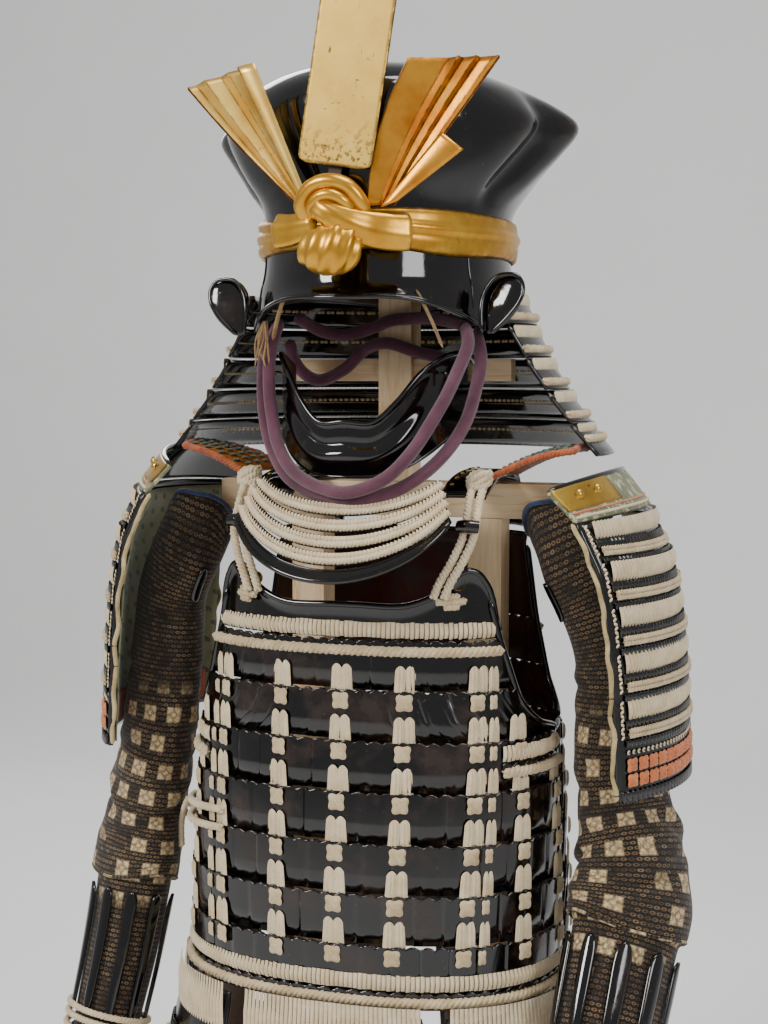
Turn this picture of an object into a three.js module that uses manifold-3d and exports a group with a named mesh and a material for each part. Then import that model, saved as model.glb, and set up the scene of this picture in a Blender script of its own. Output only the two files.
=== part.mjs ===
// Samurai armour on a pine stand: helmet, half mask, throat guard, laced cuirass, shoulder guards,
// armoured sleeves and skirt. Millimetres, +Z up. The wearer faces -Y and the wearer's left is +X.
// The origin is the centre of the underside of the stand's base.
import * as THREE from 'three';
import Module from 'manifold-3d';

const wasm = await Module();
wasm.setup();

// ---- Driving dimensions ----
const GAP = 0.3;
const FLOOR = 0;
const TIMBER = 34;
const BASE = { width: 440, depth: 400, height: 24 };
const STAND_X = 4;
const STAND_Y = 50;
const UPRIGHT_X = 92;
const SHOULDER_BAR = { length: 372, top: 890 };
const HEAD_BAR = { length: 232, height: 22, depth: 18, z: 1000 };
const HEAD_POST_TOP = 1180;

const HELMET_Y = 28;
const BAND = { bottom: 1103, top: 1144, out: 4, thickness: 3 };
const SHELL = 3;
const CREST = { width: 70, height: 262, thickness: 2.5, corner: 8, z: 1180, y: -158.3, lean: 9 };
const TANG = { width: 12, thickness: 2.5, stand_off: 2.3, rise: 38, drop: 32 };
const SOCKET = { width: 20, depth: 7.1, low: 4, high: 44 };

const LAME_COUNT = 7;
const LAME_PITCH = 46;
const LAME_STEP = 3;
const FIRST_LAME_TOP = 755;
const CUIRASS_HEM = 424;
const LAME_WALL = 3;
const TORSO_POWER = 2.4;

const GUARD = { radius: 192, halfAngle: 39, y: 31, wall: 5, plate: 26 };
const RING = { radius: 11, wire: 1.4, stand: 7, angle: 23, z: 800 };
const STUD = { radius: 1.8, head: 3.6, length: 10 };
const CLOTH = 2.5;
const CORD_RADIUS = 6;
const BRAID_RADIUS = 5;

// ---- Finishes ----
const FINISH = {
  pine: { color: 0xdcbd90, roughness: 0.6, metalness: 0 },
  lacquer: { color: 0x12100f, roughness: 0.2, metalness: 0 },
  laced: { color: 0xcdbf9c, roughness: 0.8, metalness: 0 },
  gilt: { color: 0xc79a3c, roughness: 0.35, metalness: 0.9 },
  brass: { color: 0xb9963c, roughness: 0.4, metalness: 0.9 },
  brocade: { color: 0x3a352c, roughness: 0.9, metalness: 0 },
  lining: { color: 0x78785a, roughness: 0.9, metalness: 0 },
  leather: { color: 0xb97832, roughness: 0.6, metalness: 0 },
  cord: { color: 0x5f3746, roughness: 0.9, metalness: 0 },
  braid: { color: 0xd2c3a0, roughness: 0.9, metalness: 0 },
};

// ---- Small tools ----
const radians = THREE.MathUtils.degToRad;
const mix = THREE.MathUtils.lerp;
const ease = THREE.MathUtils.smoothstep;
const point = (x, y, z) => new THREE.Vector3(x, y, z);

// Linear reading of one column of a table whose rows rise in the key column.
function read(rows, key, value, column) {
  const last = rows.length - 1;
  if (value <= rows[0][key]) return rows[0][column];
  if (value >= rows[last][key]) return rows[last][column];
  const i = rows.findIndex((row) => row[key] >= value);
  const share = (value - rows[i - 1][key]) / (rows[i][key] - rows[i - 1][key]);
  return mix(rows[i - 1][column], rows[i][column], share);
}

// One closed body from points and triangles: equal points are joined and faces turned outwards.
function closedBody(points, triangles) {
  const places = new Map();
  const kept = [];
  const index = points.map((p) => {
    const key = [p.x, p.y, p.z].map((c) => Math.round(c * 200)).join();
    if (!places.has(key)) {
      places.set(key, kept.length);
      kept.push(p);
    }
    return places.get(key);
  });
  const faces = triangles.map((t) => t.map((i) => index[i]));
  const real = faces.filter(([a, b, c]) => a !== b && b !== c && c !== a);
  let volume = 0;
  for (const [a, b, c] of real) volume += kept[a].dot(kept[b].clone().cross(kept[c]));
  const turned = volume < 0 ? real.map(([a, b, c]) => [a, c, b]) : real;
  const geometry = new THREE.BufferGeometry();
  geometry.setAttribute('position', new THREE.Float32BufferAttribute(kept.flatMap((p) => p.toArray()), 3));
  geometry.setIndex(turned.flat());
  return geometry;
}

// A wall over surface(u, v): u runs across and v downwards, and the wall thickens against dv x du.
function wall(surface, across, down, thickness, closed = false) {
  const columns = closed ? across : across + 1;
  const outer = [];
  for (let j = 0; j <= down; j++) {
    for (let i = 0; i < columns; i++) outer.push(surface(i / across, j / down));
  }
  const column = (i) => (closed ? (i + columns) % columns : Math.min(Math.max(i, 0), across));
  const at = (i, j) => outer[Math.min(Math.max(j, 0), down) * columns + column(i)];
  const inner = outer.map((p, k) => {
    const i = k % columns;
    const j = Math.floor(k / columns);
    const along = at(i + 1, j).clone().sub(at(i - 1, j));
    const below = at(i, j + 1).clone().sub(at(i, j - 1));
    const normal = below.cross(along);
    if (along.length() < 1e-6) normal.set(0, 0, 1);
    return p.clone().addScaledVector(normal.normalize(), -thickness);
  });
  const n = outer.length;
  const faces = [];
  const quad = (a, b, c, d) => faces.push([a, b, c], [a, c, d]);
  const id = (i, j) => j * columns + column(i);
  for (let j = 0; j < down; j++) {
    for (let i = 0; i < across; i++) {
      const [a, b, c, d] = [id(i, j), id(i, j + 1), id(i + 1, j + 1), id(i + 1, j)];
      quad(a, b, c, d);
      quad(n + d, n + c, n + b, n + a);
    }
  }
  for (let i = 0; i < across; i++) {
    quad(id(i + 1, 0), n + id(i + 1, 0), n + id(i, 0), id(i, 0));
    quad(id(i, down), n + id(i, down), n + id(i + 1, down), id(i + 1, down));
  }
  for (let j = 0; j < down && !closed; j++) {
    quad(id(0, j), n + id(0, j), n + id(0, j + 1), id(0, j + 1));
    quad(id(across, j + 1), n + id(across, j + 1), n + id(across, j), id(across, j));
  }
  return closedBody([...outer, ...inner], faces);
}

function toManifold(geometry) {
  const plain = geometry.index ? geometry.toNonIndexed() : geometry;
  const place = plain.attributes.position;
  const points = [];
  const faces = [];
  for (let i = 0; i < place.count; i++) points.push(new THREE.Vector3().fromBufferAttribute(place, i));
  for (let i = 0; i < place.count; i += 3) faces.push([i, i + 1, i + 2]);
  const joined = closedBody(points, faces);
  const vertProperties = new Float32Array(joined.attributes.position.array);
  const triVerts = new Uint32Array(joined.index.array);
  return new wasm.Manifold(new wasm.Mesh({ numProp: 3, vertProperties, triVerts }));
}

function fromManifold(body) {
  const mesh = body.getMesh();
  const geometry = new THREE.BufferGeometry();
  geometry.setAttribute('position', new THREE.Float32BufferAttribute(mesh.vertProperties, 3));
  geometry.setIndex(Array.from(mesh.triVerts));
  return geometry;
}

function tube(points, radius, steps, sides = 8) {
  const path = new THREE.CatmullRomCurve3(points, false, 'centripetal');
  const outline = [];
  for (let i = 0; i < sides; i++) {
    const turn = (i / sides) * Math.PI * 2;
    outline.push(new THREE.Vector2(radius * Math.cos(turn), radius * Math.sin(turn)));
  }
  return new THREE.ExtrudeGeometry(new THREE.Shape(outline), { steps, extrudePath: path, bevelEnabled: false });
}

const armour = new THREE.Group();
const helmet = new THREE.Group();
helmet.position.set(0, HELMET_Y, 0);
armour.add(helmet);

function addPiece(name, geometry, finish, parent = armour) {
  const mesh = new THREE.Mesh(geometry, new THREE.MeshStandardMaterial(FINISH[finish]));
  mesh.name = name;
  parent.add(mesh);
  return mesh;
}

// ---- Stand ----
function addTimber(name, size, centre) {
  const mesh = addPiece(name, new THREE.BoxGeometry(...size), 'pine');
  mesh.position.set(...centre);
}

function addStand() {
  const barBottom = SHOULDER_BAR.top - TIMBER;
  const uprightLow = BASE.height + GAP;
  const uprightHigh = barBottom - GAP;
  const postLow = SHOULDER_BAR.top + GAP;
  addTimber('stand_base', [BASE.width, BASE.depth, BASE.height], [0, 0, FLOOR + BASE.height / 2]);
  for (const [side, name] of [[-1, 'stand_upright_right'], [1, 'stand_upright_left']]) {
    const middle = (uprightLow + uprightHigh) / 2;
    addTimber(name, [TIMBER, TIMBER, uprightHigh - uprightLow], [STAND_X + side * UPRIGHT_X, STAND_Y, middle]);
  }
  const barCentre = [STAND_X, STAND_Y, SHOULDER_BAR.top - TIMBER / 2];
  addTimber('stand_shoulder_bar', [SHOULDER_BAR.length, TIMBER, TIMBER], barCentre);
  // The head bar runs through a mortise in the head post.
  const post = new THREE.BoxGeometry(TIMBER, TIMBER, HEAD_POST_TOP - postLow);
  post.translate(0, 0, (postLow + HEAD_POST_TOP) / 2);
  const mortise = new THREE.BoxGeometry(2 * TIMBER, HEAD_BAR.depth + 2 * GAP, HEAD_BAR.height + 2 * GAP);
  mortise.translate(0, 0, HEAD_BAR.z);
  const cutPost = fromManifold(toManifold(post).subtract(toManifold(mortise)));
  addPiece('stand_head_post', cutPost.translate(STAND_X, STAND_Y, 0), 'pine');
  const headBar = [HEAD_BAR.length, HEAD_BAR.depth, HEAD_BAR.height];
  addTimber('stand_head_bar', headBar, [STAND_X, STAND_Y, HEAD_BAR.z]);
}

// ---- Helmet ----
// Rings of the bowl from the top down: half width, reach to the front and back, and the side lobes.
const BOWL_ROWS = [
  { z: 1289, side: 0, front: 0, back: 0, lobe: 0 },
  { z: 1286, side: 52, front: 60, back: 58, lobe: 0 },
  { z: 1277, side: 97, front: 112, back: 112, lobe: 0 },
  { z: 1263, side: 129, front: 136, back: 146, lobe: 4 },
  { z: 1246, side: 149, front: 145, back: 164, lobe: 12 },
  { z: 1228, side: 157, front: 146, back: 170, lobe: 18 },
  { z: 1204, side: 150, front: 145, back: 166, lobe: 9 },
  { z: 1176, side: 136, front: 142, back: 154, lobe: 2 },
  { z: 1150, side: 121, front: 139, back: 143, lobe: 0 },
  { z: 1124, side: 117, front: 138, back: 140, lobe: 0 },
  { z: 1096, side: 118, front: 139, back: 140, lobe: 0 },
  { z: 1078, side: 122, front: 142, back: 140, lobe: 0 },
  { z: 1066, side: 127, front: 150, back: 141, lobe: 0 },
];
// How far the lower edge hangs below its ring, by the angle away from the front.
const BROW_ROWS = [
  { angle: 0, drop: 0 },
  { angle: 30, drop: 2 },
  { angle: 50, drop: 14 },
  { angle: 68, drop: 28 },
  { angle: 84, drop: 10 },
  { angle: 100, drop: 0 },
];

function bowlPoint(angle, row, out = 0) {
  const turn = radians(angle);
  const reach = Math.cos(turn) > 0 ? row.front : row.back;
  const lobe = row.lobe * Math.abs(Math.sin(turn)) ** 8;
  const sideways = (row.side + lobe + out) * Math.sin(turn);
  return point(sideways, -(reach + out) * Math.cos(turn), row.z);
}

function addBowl() {
  const last = BOWL_ROWS.length - 1;
  const surface = (u, v) => {
    const angle = u * 360 - 180;
    const row = BOWL_ROWS[Math.round(v * last)];
    const place = bowlPoint(angle, row);
    if (row === BOWL_ROWS[last]) place.z -= read(BROW_ROWS, 'angle', Math.abs(angle), 'drop');
    return place;
  };
  addPiece('helmet_bowl', wall(surface, 36, last, SHELL, true), 'lacquer', helmet);
}

function addHeadband() {
  const surface = (u, v) => {
    const z = mix(BAND.top, BAND.bottom, v);
    const row = { z, side: 118.5, front: 139.5, back: 142, lobe: 0 };
    return bowlPoint(u * 360 - 180, row, BAND.out + BAND.thickness);
  };
  addPiece('helmet_headband', wall(surface, 36, 1, BAND.thickness, true), 'gilt', helmet);
}

// The knot is a thick tied loop over a rounder bunch that lies on the headband.
const KNOT_FRONT = { x: 0, y: -170, z: 1126, wide: 30, deep: 10, high: 46 };
const KNOT_ROOT = { x: 0, y: -159.6, z: 1116, wide: 24, deep: 12, high: 24 };

function knotLobe(size) {
  const ball = new THREE.SphereGeometry(1, 14, 9);
  ball.scale(size.wide, size.deep, size.high);
  ball.translate(size.x, size.y, size.z);
  return toManifold(ball);
}

function addKnot() {
  const knot = knotLobe(KNOT_FRONT).add(knotLobe(KNOT_ROOT));
  addPiece('helmet_knot', fromManifold(knot), 'gilt', helmet);
}

// Pleated ends of the headband: top edge and foot, from the wearer's right to left.
const FANS = [
  { name: 'helmet_fan_right', top: [[-142, 1256], [-80, 1273]], foot: [[-35, 1148], [-23, 1146]] },
  { name: 'helmet_fan_left', top: [[66, 1270], [150, 1267]], foot: [[30, 1144], [54, 1146]] },
];
const FAN_PLANE = -153;
const FLUTE_DEPTH = 3;
const FLUTE_COUNT = 4;

function addFans() {
  for (const fan of FANS) {
    const surface = (u, v) => {
      const x = mix(mix(fan.top[0][0], fan.top[1][0], u), mix(fan.foot[0][0], fan.foot[1][0], u), v);
      const z = mix(mix(fan.top[0][1], fan.top[1][1], u), mix(fan.foot[0][1], fan.foot[1][1], u), v);
      const flute = FLUTE_DEPTH * (1 - v) * Math.cos(u * FLUTE_COUNT * Math.PI * 2);
      return point(x, FAN_PLANE - flute, z);
    };
    addPiece(fan.name, wall(surface, 16, 2, 2), 'gilt', helmet);
  }
}

// The crest plate stands on a tang: a flat bar that fills the socket behind the plate.
function addCrest() {
  const crest = new THREE.Group();
  crest.position.set(0, CREST.y, CREST.z);
  crest.rotation.y = radians(CREST.lean);
  helmet.add(crest);
  const half = CREST.width / 2;
  const r = CREST.corner;
  const outline = new THREE.Shape();
  outline.moveTo(-half + r, 0);
  outline.lineTo(half - r, 0);
  outline.absarc(half - r, r, r, -Math.PI / 2, 0, false);
  outline.absarc(half - r, CREST.height - r, r, 0, Math.PI / 2, false);
  outline.absarc(-half + r, CREST.height - r, r, Math.PI / 2, Math.PI, false);
  outline.absarc(-half + r, r, r, Math.PI, Math.PI * 1.5, false);
  const options = { depth: CREST.thickness, bevelEnabled: false, curveSegments: 4 };
  const plate = new THREE.ExtrudeGeometry(outline, options).rotateX(Math.PI / 2);
  const block = new THREE.BoxGeometry(SOCKET.width, SOCKET.depth + 1, SOCKET.high - SOCKET.low);
  block.translate(0, (SOCKET.depth - 1) / 2, (SOCKET.high + SOCKET.low) / 2);
  const slotWidth = TANG.width + 2 * GAP;
  const slotDepth = TANG.thickness + 2 * GAP;
  const slotMiddle = TANG.stand_off + TANG.thickness / 2;
  const slot = new THREE.BoxGeometry(slotWidth, slotDepth, SOCKET.high);
  slot.translate(0, slotMiddle, SOCKET.high / 2 + SOCKET.low / 2);
  const slotLong = slot.clone().scale(1, 1, 1.4);
  const body = toManifold(plate).add(toManifold(block)).subtract(toManifold(slotLong));
  addPiece('helmet_crest', fromManifold(body), 'gilt', crest);
  const bar = new THREE.BoxGeometry(TANG.width, TANG.thickness, TANG.rise + TANG.drop);
  bar.translate(0, slotMiddle, (TANG.rise - TANG.drop) / 2);
  const footDepth = 10;
  const footHeight = 3;
  const foot = new THREE.BoxGeometry(TANG.width, footDepth, footHeight);
  foot.translate(0, slotMiddle + footDepth / 2, -TANG.drop + footHeight / 2);
  const tang = toManifold(bar).add(toManifold(foot));
  addPiece('helmet_crest_tang', fromManifold(tang), 'lacquer', crest);
}

function addTurnBacks() {
  const middle = 1058;
  const halfHeight = 27;
  const inner = 118;
  const reach = 36;
  for (const [side, name] of [[-1, 'helmet_turn_back_right'], [1, 'helmet_turn_back_left']]) {
    const surface = (u, v) => {
      const share = side > 0 ? u : 1 - u;
      const half = halfHeight * Math.sqrt(1 - (0.95 * share) ** 2);
      return point(side * (inner + reach * share), -76 + 12 * share ** 2, middle + half * (1 - 2 * v));
    };
    addPiece(name, wall(surface, 6, 5, SHELL), 'lacquer', helmet);
  }
}

// Neck guard: five laced lames that flare from the bowl to the wide lowest edge.
const NECK = { lames: 5, top: 1072, bottom: 919, wall: 3, step: 2, gap: 2.8 };
const NECK_TOP = { side: 131, back: 146, end: 66 };
const NECK_LOW = { side: 222, back: 176, end: 77 };
const NECK_HOLLOW = 9;

function neckPoint(share, u, out) {
  const end = mix(NECK_TOP.end, NECK_LOW.end, share);
  const turn = radians(mix(end, 360 - end, 1 - u));
  const sag = out - NECK_HOLLOW * Math.sin(share * Math.PI);
  const side = mix(NECK_TOP.side, NECK_LOW.side, share) + sag;
  const back = mix(NECK_TOP.back, NECK_LOW.back, share) + sag;
  return point(side * Math.sin(turn), -back * Math.cos(turn), mix(NECK.top, NECK.bottom, share));
}

function addNeckGuard() {
  for (let k = 0; k < NECK.lames; k++) {
    const high = k / NECK.lames;
    const low = (k + 1) / NECK.lames - NECK.gap / (NECK.top - NECK.bottom);
    const surface = (u, v) => neckPoint(mix(high, low, v), u, v * NECK.step);
    addPiece(`neck_guard_lame_${k + 1}`, wall(surface, 22, 1, NECK.wall), 'laced', helmet);
  }
}

// ---- Half mask and throat guard ----
const MASK = { y: -5, side: 92, front: 100, halfAngle: 96, wall: 2.5 };
const MASK_ROWS = [
  { angle: 0, top: 953, bottom: 902 },
  { angle: 22, top: 955, bottom: 903 },
  { angle: 32, top: 976, bottom: 908 },
  { angle: 43, top: 997, bottom: 916 },
  { angle: 58, top: 1012, bottom: 930 },
  { angle: 80, top: 1015, bottom: 955 },
  { angle: 96, top: 1006, bottom: 975 },
];
const CHIN_TUCK = 12;

function addMask() {
  const surface = (u, v) => {
    const angle = mix(-MASK.halfAngle, MASK.halfAngle, u);
    const top = read(MASK_ROWS, 'angle', Math.abs(angle), 'top');
    const bottom = read(MASK_ROWS, 'angle', Math.abs(angle), 'bottom');
    const tuck = CHIN_TUCK * Math.max(0, v - 0.6) * 2.5 * Math.cos(radians(angle)) ** 2;
    const x = (MASK.side - tuck) * Math.sin(radians(angle));
    return point(x, MASK.y - (MASK.front - tuck) * Math.cos(radians(angle)), mix(top, bottom, v));
  };
  addPiece('half_mask', wall(surface, 22, 5, MASK.wall), 'lacquer');
}

const THROAT = { lames: 5, halfAngle: 68, wall: 2.5, step: 2, gap: 0.07 };
const THROAT_TOP = { side: 92, front: 38, y: -74, z: 878, rise: 36 };
const THROAT_LOW = { side: 112, front: 76, y: -89, z: 808, rise: 88 };

function throatPoint(share, u, out) {
  const turn = radians(mix(-THROAT.halfAngle, THROAT.halfAngle, u));
  const at = (column) => mix(THROAT_TOP[column], THROAT_LOW[column], share);
  const x = (at('side') + out) * Math.sin(turn);
  const z = at('z') + at('rise') * (1 - Math.cos(turn));
  return point(x, at('y') - (at('front') + out) * Math.cos(turn), z);
}

function addThroatGuard() {
  for (let k = 0; k < THROAT.lames; k++) {
    const surface = (u, v) => {
      const share = mix(k / THROAT.lames, (k + 1) / THROAT.lames - THROAT.gap, v);
      return throatPoint(share, u, v * THROAT.step);
    };
    addPiece(`throat_guard_lame_${k + 1}`, wall(surface, 16, 1, THROAT.wall), 'laced');
  }
}

// ---- Cuirass ----
// Plan of the torso at each height: half width, and reach to the front and back.
const TORSO_ROWS = [
  { z: 418, side: 184, front: 141, back: 124 },
  { z: 530, side: 182, front: 135, back: 122 },
  { z: 600, side: 179, front: 127, back: 120 },
  { z: 662, side: 174, front: 119, back: 116 },
  { z: 721, side: 167, front: 112, back: 112 },
  { z: 768, side: 162, front: 108, back: 108 },
  { z: 840, side: 156, front: 109, back: 104 },
];
// Angles from the front at which the armhole cuts the front and the back.
const ARMHOLE_ROWS = [
  { z: 664, front: 88.5, back: 91.5 },
  { z: 669, front: 80, back: 100 },
  { z: 680, front: 70, back: 110 },
  { z: 700, front: 62, back: 118 },
  { z: 755, front: 54, back: 124 },
  { z: 840, front: 46, back: 128 },
];
// Top edge of the chest plate by angle: low at the neck and high at the rounded corners.
const CHEST_ROWS = [
  { angle: 0, top: 786 },
  { angle: 20, top: 788 },
  { angle: 30, top: 800 },
  { angle: 37, top: 815 },
  { angle: 43, top: 818 },
  { angle: 48, top: 810 },
  { angle: 52, top: 790 },
  { angle: 54, top: 764 },
];
const BACK_TOP = 838;

function torsoPoint(angle, z, out = 0) {
  const turn = radians(angle);
  const reach = read(TORSO_ROWS, 'z', z, Math.cos(turn) > 0 ? 'front' : 'back') + out;
  const side = read(TORSO_ROWS, 'z', z, 'side') + out;
  const round = (value) => Math.sign(value) * Math.abs(value) ** (2 / TORSO_POWER);
  return point(side * round(Math.sin(turn)), -reach * round(Math.cos(turn)), z);
}

const lameTop = (k) => FIRST_LAME_TOP - LAME_PITCH * k;
const lameBottom = (k) => (k < LAME_COUNT - 1 ? lameTop(k + 1) + 2 * GAP : CUIRASS_HEM);

function addFront() {
  const chest = (u, v) => {
    const angle = mix(-1, 1, u) * read(ARMHOLE_ROWS, 'z', FIRST_LAME_TOP, 'front');
    const top = read(CHEST_ROWS, 'angle', Math.abs(angle), 'top');
    return torsoPoint(angle, mix(top, FIRST_LAME_TOP + 2 * GAP, v));
  };
  addPiece('cuirass_chest_plate', wall(chest, 22, 2, LAME_WALL), 'lacquer');
  for (let k = 0; k < LAME_COUNT; k++) {
    const surface = (u, v) => {
      const z = mix(lameTop(k), lameBottom(k), v);
      const angle = mix(-1, 1, u) * read(ARMHOLE_ROWS, 'z', z, 'front');
      return torsoPoint(angle, z, LAME_STEP * (1 - v));
    };
    addPiece(`cuirass_lame_${k + 1}`, wall(surface, 18, k === 1 ? 3 : 1, LAME_WALL), 'laced');
  }
}

function addBack() {
  const rows = [{ z: BACK_TOP, out: 0 }, { z: 800, out: 0 }, { z: FIRST_LAME_TOP + 2 * GAP, out: 0 }];
  for (let k = 0; k < LAME_COUNT; k++) {
    rows.push({ z: lameTop(k), out: LAME_STEP }, { z: lameBottom(k), out: 0 });
  }
  const surface = (u, v) => {
    const row = rows[Math.round(v * (rows.length - 1))];
    const end = read(ARMHOLE_ROWS, 'z', row.z, 'back');
    return torsoPoint(mix(end, 360 - end, u), row.z, row.out);
  };
  addPiece('cuirass_back', wall(surface, 16, rows.length - 1, LAME_WALL), 'laced');
}

// Shoulder straps over the stand's bar, from the back plate to the toggles in front.
const STRAP = { x: 96, halfWidth: 22, wall: 5 };
const STRAP_ROWS = [
  { y: 106, z: 844 },
  { y: 94, z: 880 },
  { y: 76, z: 899 },
  { y: 34, z: 901 },
  { y: -10, z: 896 },
  { y: -46, z: 884 },
];
const PAD = { inner: 121, outer: 196, low: 901, high: 927, back: 58, front: -46, wall: 5 };

function addShoulders() {
  for (const [side, hand] of [[-1, 'right'], [1, 'left']]) {
    const strap = (u, v) => {
      const row = STRAP_ROWS[Math.round(v * (STRAP_ROWS.length - 1))];
      return point(side * STRAP.x + mix(-1, 1, u) * STRAP.halfWidth, row.y, row.z);
    };
    addPiece(`shoulder_strap_${hand}`, wall(strap, 2, STRAP_ROWS.length - 1, STRAP.wall), 'lacquer');
    const pad = (u, v) => {
      const share = side > 0 ? u : 1 - u;
      const round = Math.sqrt(1 - (0.8 * share) ** 2);
      const middle = (PAD.back + PAD.front) / 2;
      const y = middle + ((PAD.back - PAD.front) / 2) * round * (1 - 2 * v);
      const z = mix(PAD.low, PAD.high, share) + 5 * Math.sin(share * Math.PI);
      return point(side * mix(PAD.inner, PAD.outer, share), y, z);
    };
    addPiece(`shoulder_pad_${hand}`, wall(pad, 6, 4, PAD.wall), 'leather');
  }
}

// ---- Shoulder guards ----
// Front edge of the guard from the top down: its distance from the middle plane.
const GUARD_ROWS = [
  { z: 615, x: 254 },
  { z: 720, x: 249 },
  { z: 772, x: 244 },
  { z: 822, x: 234 },
  { z: 866, x: 213 },
  { z: 892, x: 187 },
];
const GUARD_SIDES = [
  { hand: 'right', side: -1, lift: 18, out: -3 },
  { hand: 'left', side: 1, lift: 0, out: 0 },
];
const GUARD_CROWN = 14;
const GUARD_SEAM = 3;

function guardPoint(sideRow, u, z, inward) {
  const swing = mix(-GUARD.halfAngle, GUARD.halfAngle, sideRow.side > 0 ? u : 1 - u);
  const bulge = GUARD.radius * (Math.cos(radians(swing)) - Math.cos(radians(GUARD.halfAngle)));
  const edge = read(GUARD_ROWS, 'z', z, 'x') + sideRow.out;
  const crown = GUARD_CROWN * ease(z, 840, 892) * (1 - (swing / GUARD.halfAngle) ** 2);
  const y = GUARD.y + (GUARD.radius - inward) * Math.sin(radians(swing));
  return point(sideRow.side * (edge + bulge - inward), y, z + crown + sideRow.lift);
}

// The lining lies just inside the guard. Where the guard slopes over the shoulder, the level
// distance between the two grows with the slope.
function liningSurface(sideRow, high, low) {
  return (u, v) => {
    const z = mix(high, low, v);
    const slope = 1 + 0.14 * ease(z, 780, 815) + 0.4 * ease(z, 830, 866);
    return guardPoint(sideRow, u, z, (GUARD.wall + 2 * GAP) * slope);
  };
}

// The ring hangs on a headed stud that stands on the guard's rear half.
function studFrame(sideRow) {
  const u = (RING.angle + GUARD.halfAngle) / (2 * GUARD.halfAngle);
  const foot = guardPoint(sideRow, sideRow.side > 0 ? u : 1 - u, RING.z, 0);
  const turn = radians(RING.angle);
  const outward = point(sideRow.side * Math.cos(turn), Math.sin(turn), 0);
  return { foot, outward };
}

function addGuards() {
  const top = 892;
  const bottom = 615;
  for (const sideRow of GUARD_SIDES) {
    const plateLow = top - GUARD.plate;
    const panelTop = plateLow - GUARD_SEAM;
    const cover = (high, low, inward) => (u, v) => guardPoint(sideRow, u, mix(high, low, v), inward);
    const plate = wall(cover(top, plateLow, 0), 12, 1, GUARD.wall);
    addPiece(`shoulder_guard_plate_${sideRow.hand}`, plate, 'brass');
    const panel = wall(cover(panelTop, bottom, 0), 12, 6, GUARD.wall);
    const { foot, outward } = studFrame(sideRow);
    const aim = new THREE.Quaternion().setFromUnitVectors(point(0, 1, 0), outward);
    const shaft = new THREE.CylinderGeometry(STUD.radius, STUD.radius, STUD.length + 2, 10);
    shaft.translate(0, STUD.length / 2 - 1, 0);
    const head = new THREE.CylinderGeometry(STUD.head, STUD.head, 1.6, 10);
    head.translate(0, STUD.length, 0);
    const stud = toManifold(shaft).add(toManifold(head));
    const placed = fromManifold(stud).applyQuaternion(aim).translate(foot.x, foot.y, foot.z);
    const studded = toManifold(panel).add(toManifold(placed));
    addPiece(`shoulder_guard_${sideRow.hand}`, fromManifold(studded), 'laced');
    const lining = wall(liningSurface(sideRow, panelTop - 6, bottom + 4), 12, 6, CLOTH - 1);
    addPiece(`shoulder_guard_lining_${sideRow.hand}`, lining, 'lining');
    const ring = new THREE.TorusGeometry(RING.radius, RING.wire, 8, 20);
    const mesh = addPiece(`shoulder_guard_ring_${sideRow.hand}`, ring, 'gilt');
    mesh.quaternion.setFromUnitVectors(point(0, 0, 1), outward);
    const hang = RING.radius - RING.wire - STUD.radius - GAP;
    mesh.position.copy(foot).addScaledVector(outward, RING.stand);
    mesh.position.z -= hang;
  }
}

// ---- Sleeves ----
// Centre line and section of each sleeve from the shoulder to the cuff. `long` and `short` are the
// half axes of the section.
const SLEEVE_ROWS = {
  left: [
    { z: 852, x: 184, y: 6, long: 45, short: 34 },
    { z: 822, x: 199, y: 6, long: 46, short: 35 },
    { z: 780, x: 220, y: 6, long: 46, short: 35 },
    { z: 735, x: 234, y: 5, long: 45, short: 34 },
    { z: 690, x: 237, y: 3, long: 45, short: 34 },
    { z: 640, x: 236, y: 0, long: 46, short: 34 },
    { z: 590, x: 243, y: -6, long: 50, short: 37 },
    { z: 545, x: 254, y: -20, long: 57, short: 42 },
    { z: 505, x: 255, y: -34, long: 57, short: 42 },
    { z: 470, x: 251, y: -52, long: 55, short: 41 },
    { z: 435, x: 247, y: -72, long: 54, short: 40 },
    { z: 395, x: 242, y: -94, long: 52, short: 38 },
    { z: 355, x: 236, y: -116, long: 48, short: 35 },
    { z: 330, x: 232, y: -130, long: 46, short: 34 },
  ],
  right: [
    { z: 852, x: 192, y: 6, long: 45, short: 33 },
    { z: 822, x: 206, y: 6, long: 48, short: 35 },
    { z: 780, x: 223, y: 6, long: 49, short: 35 },
    { z: 735, x: 230, y: 5, long: 49, short: 35 },
    { z: 690, x: 234, y: 4, long: 49, short: 35 },
    { z: 640, x: 238, y: 2, long: 49, short: 36 },
    { z: 590, x: 247, y: 0, long: 52, short: 39 },
    { z: 545, x: 255, y: -3, long: 53, short: 40 },
    { z: 505, x: 260, y: -8, long: 52, short: 39 },
    { z: 470, x: 263, y: -16, long: 50, short: 38 },
    { z: 435, x: 266, y: -25, long: 48, short: 37 },
    { z: 395, x: 270, y: -36, long: 46, short: 36 },
    { z: 355, x: 275, y: -47, long: 43, short: 35 },
    { z: 330, x: 278, y: -54, long: 42, short: 34 },
  ],
};
const SLEEVE_TWIST = 50;
const SLEEVE_RISE = 30;

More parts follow.
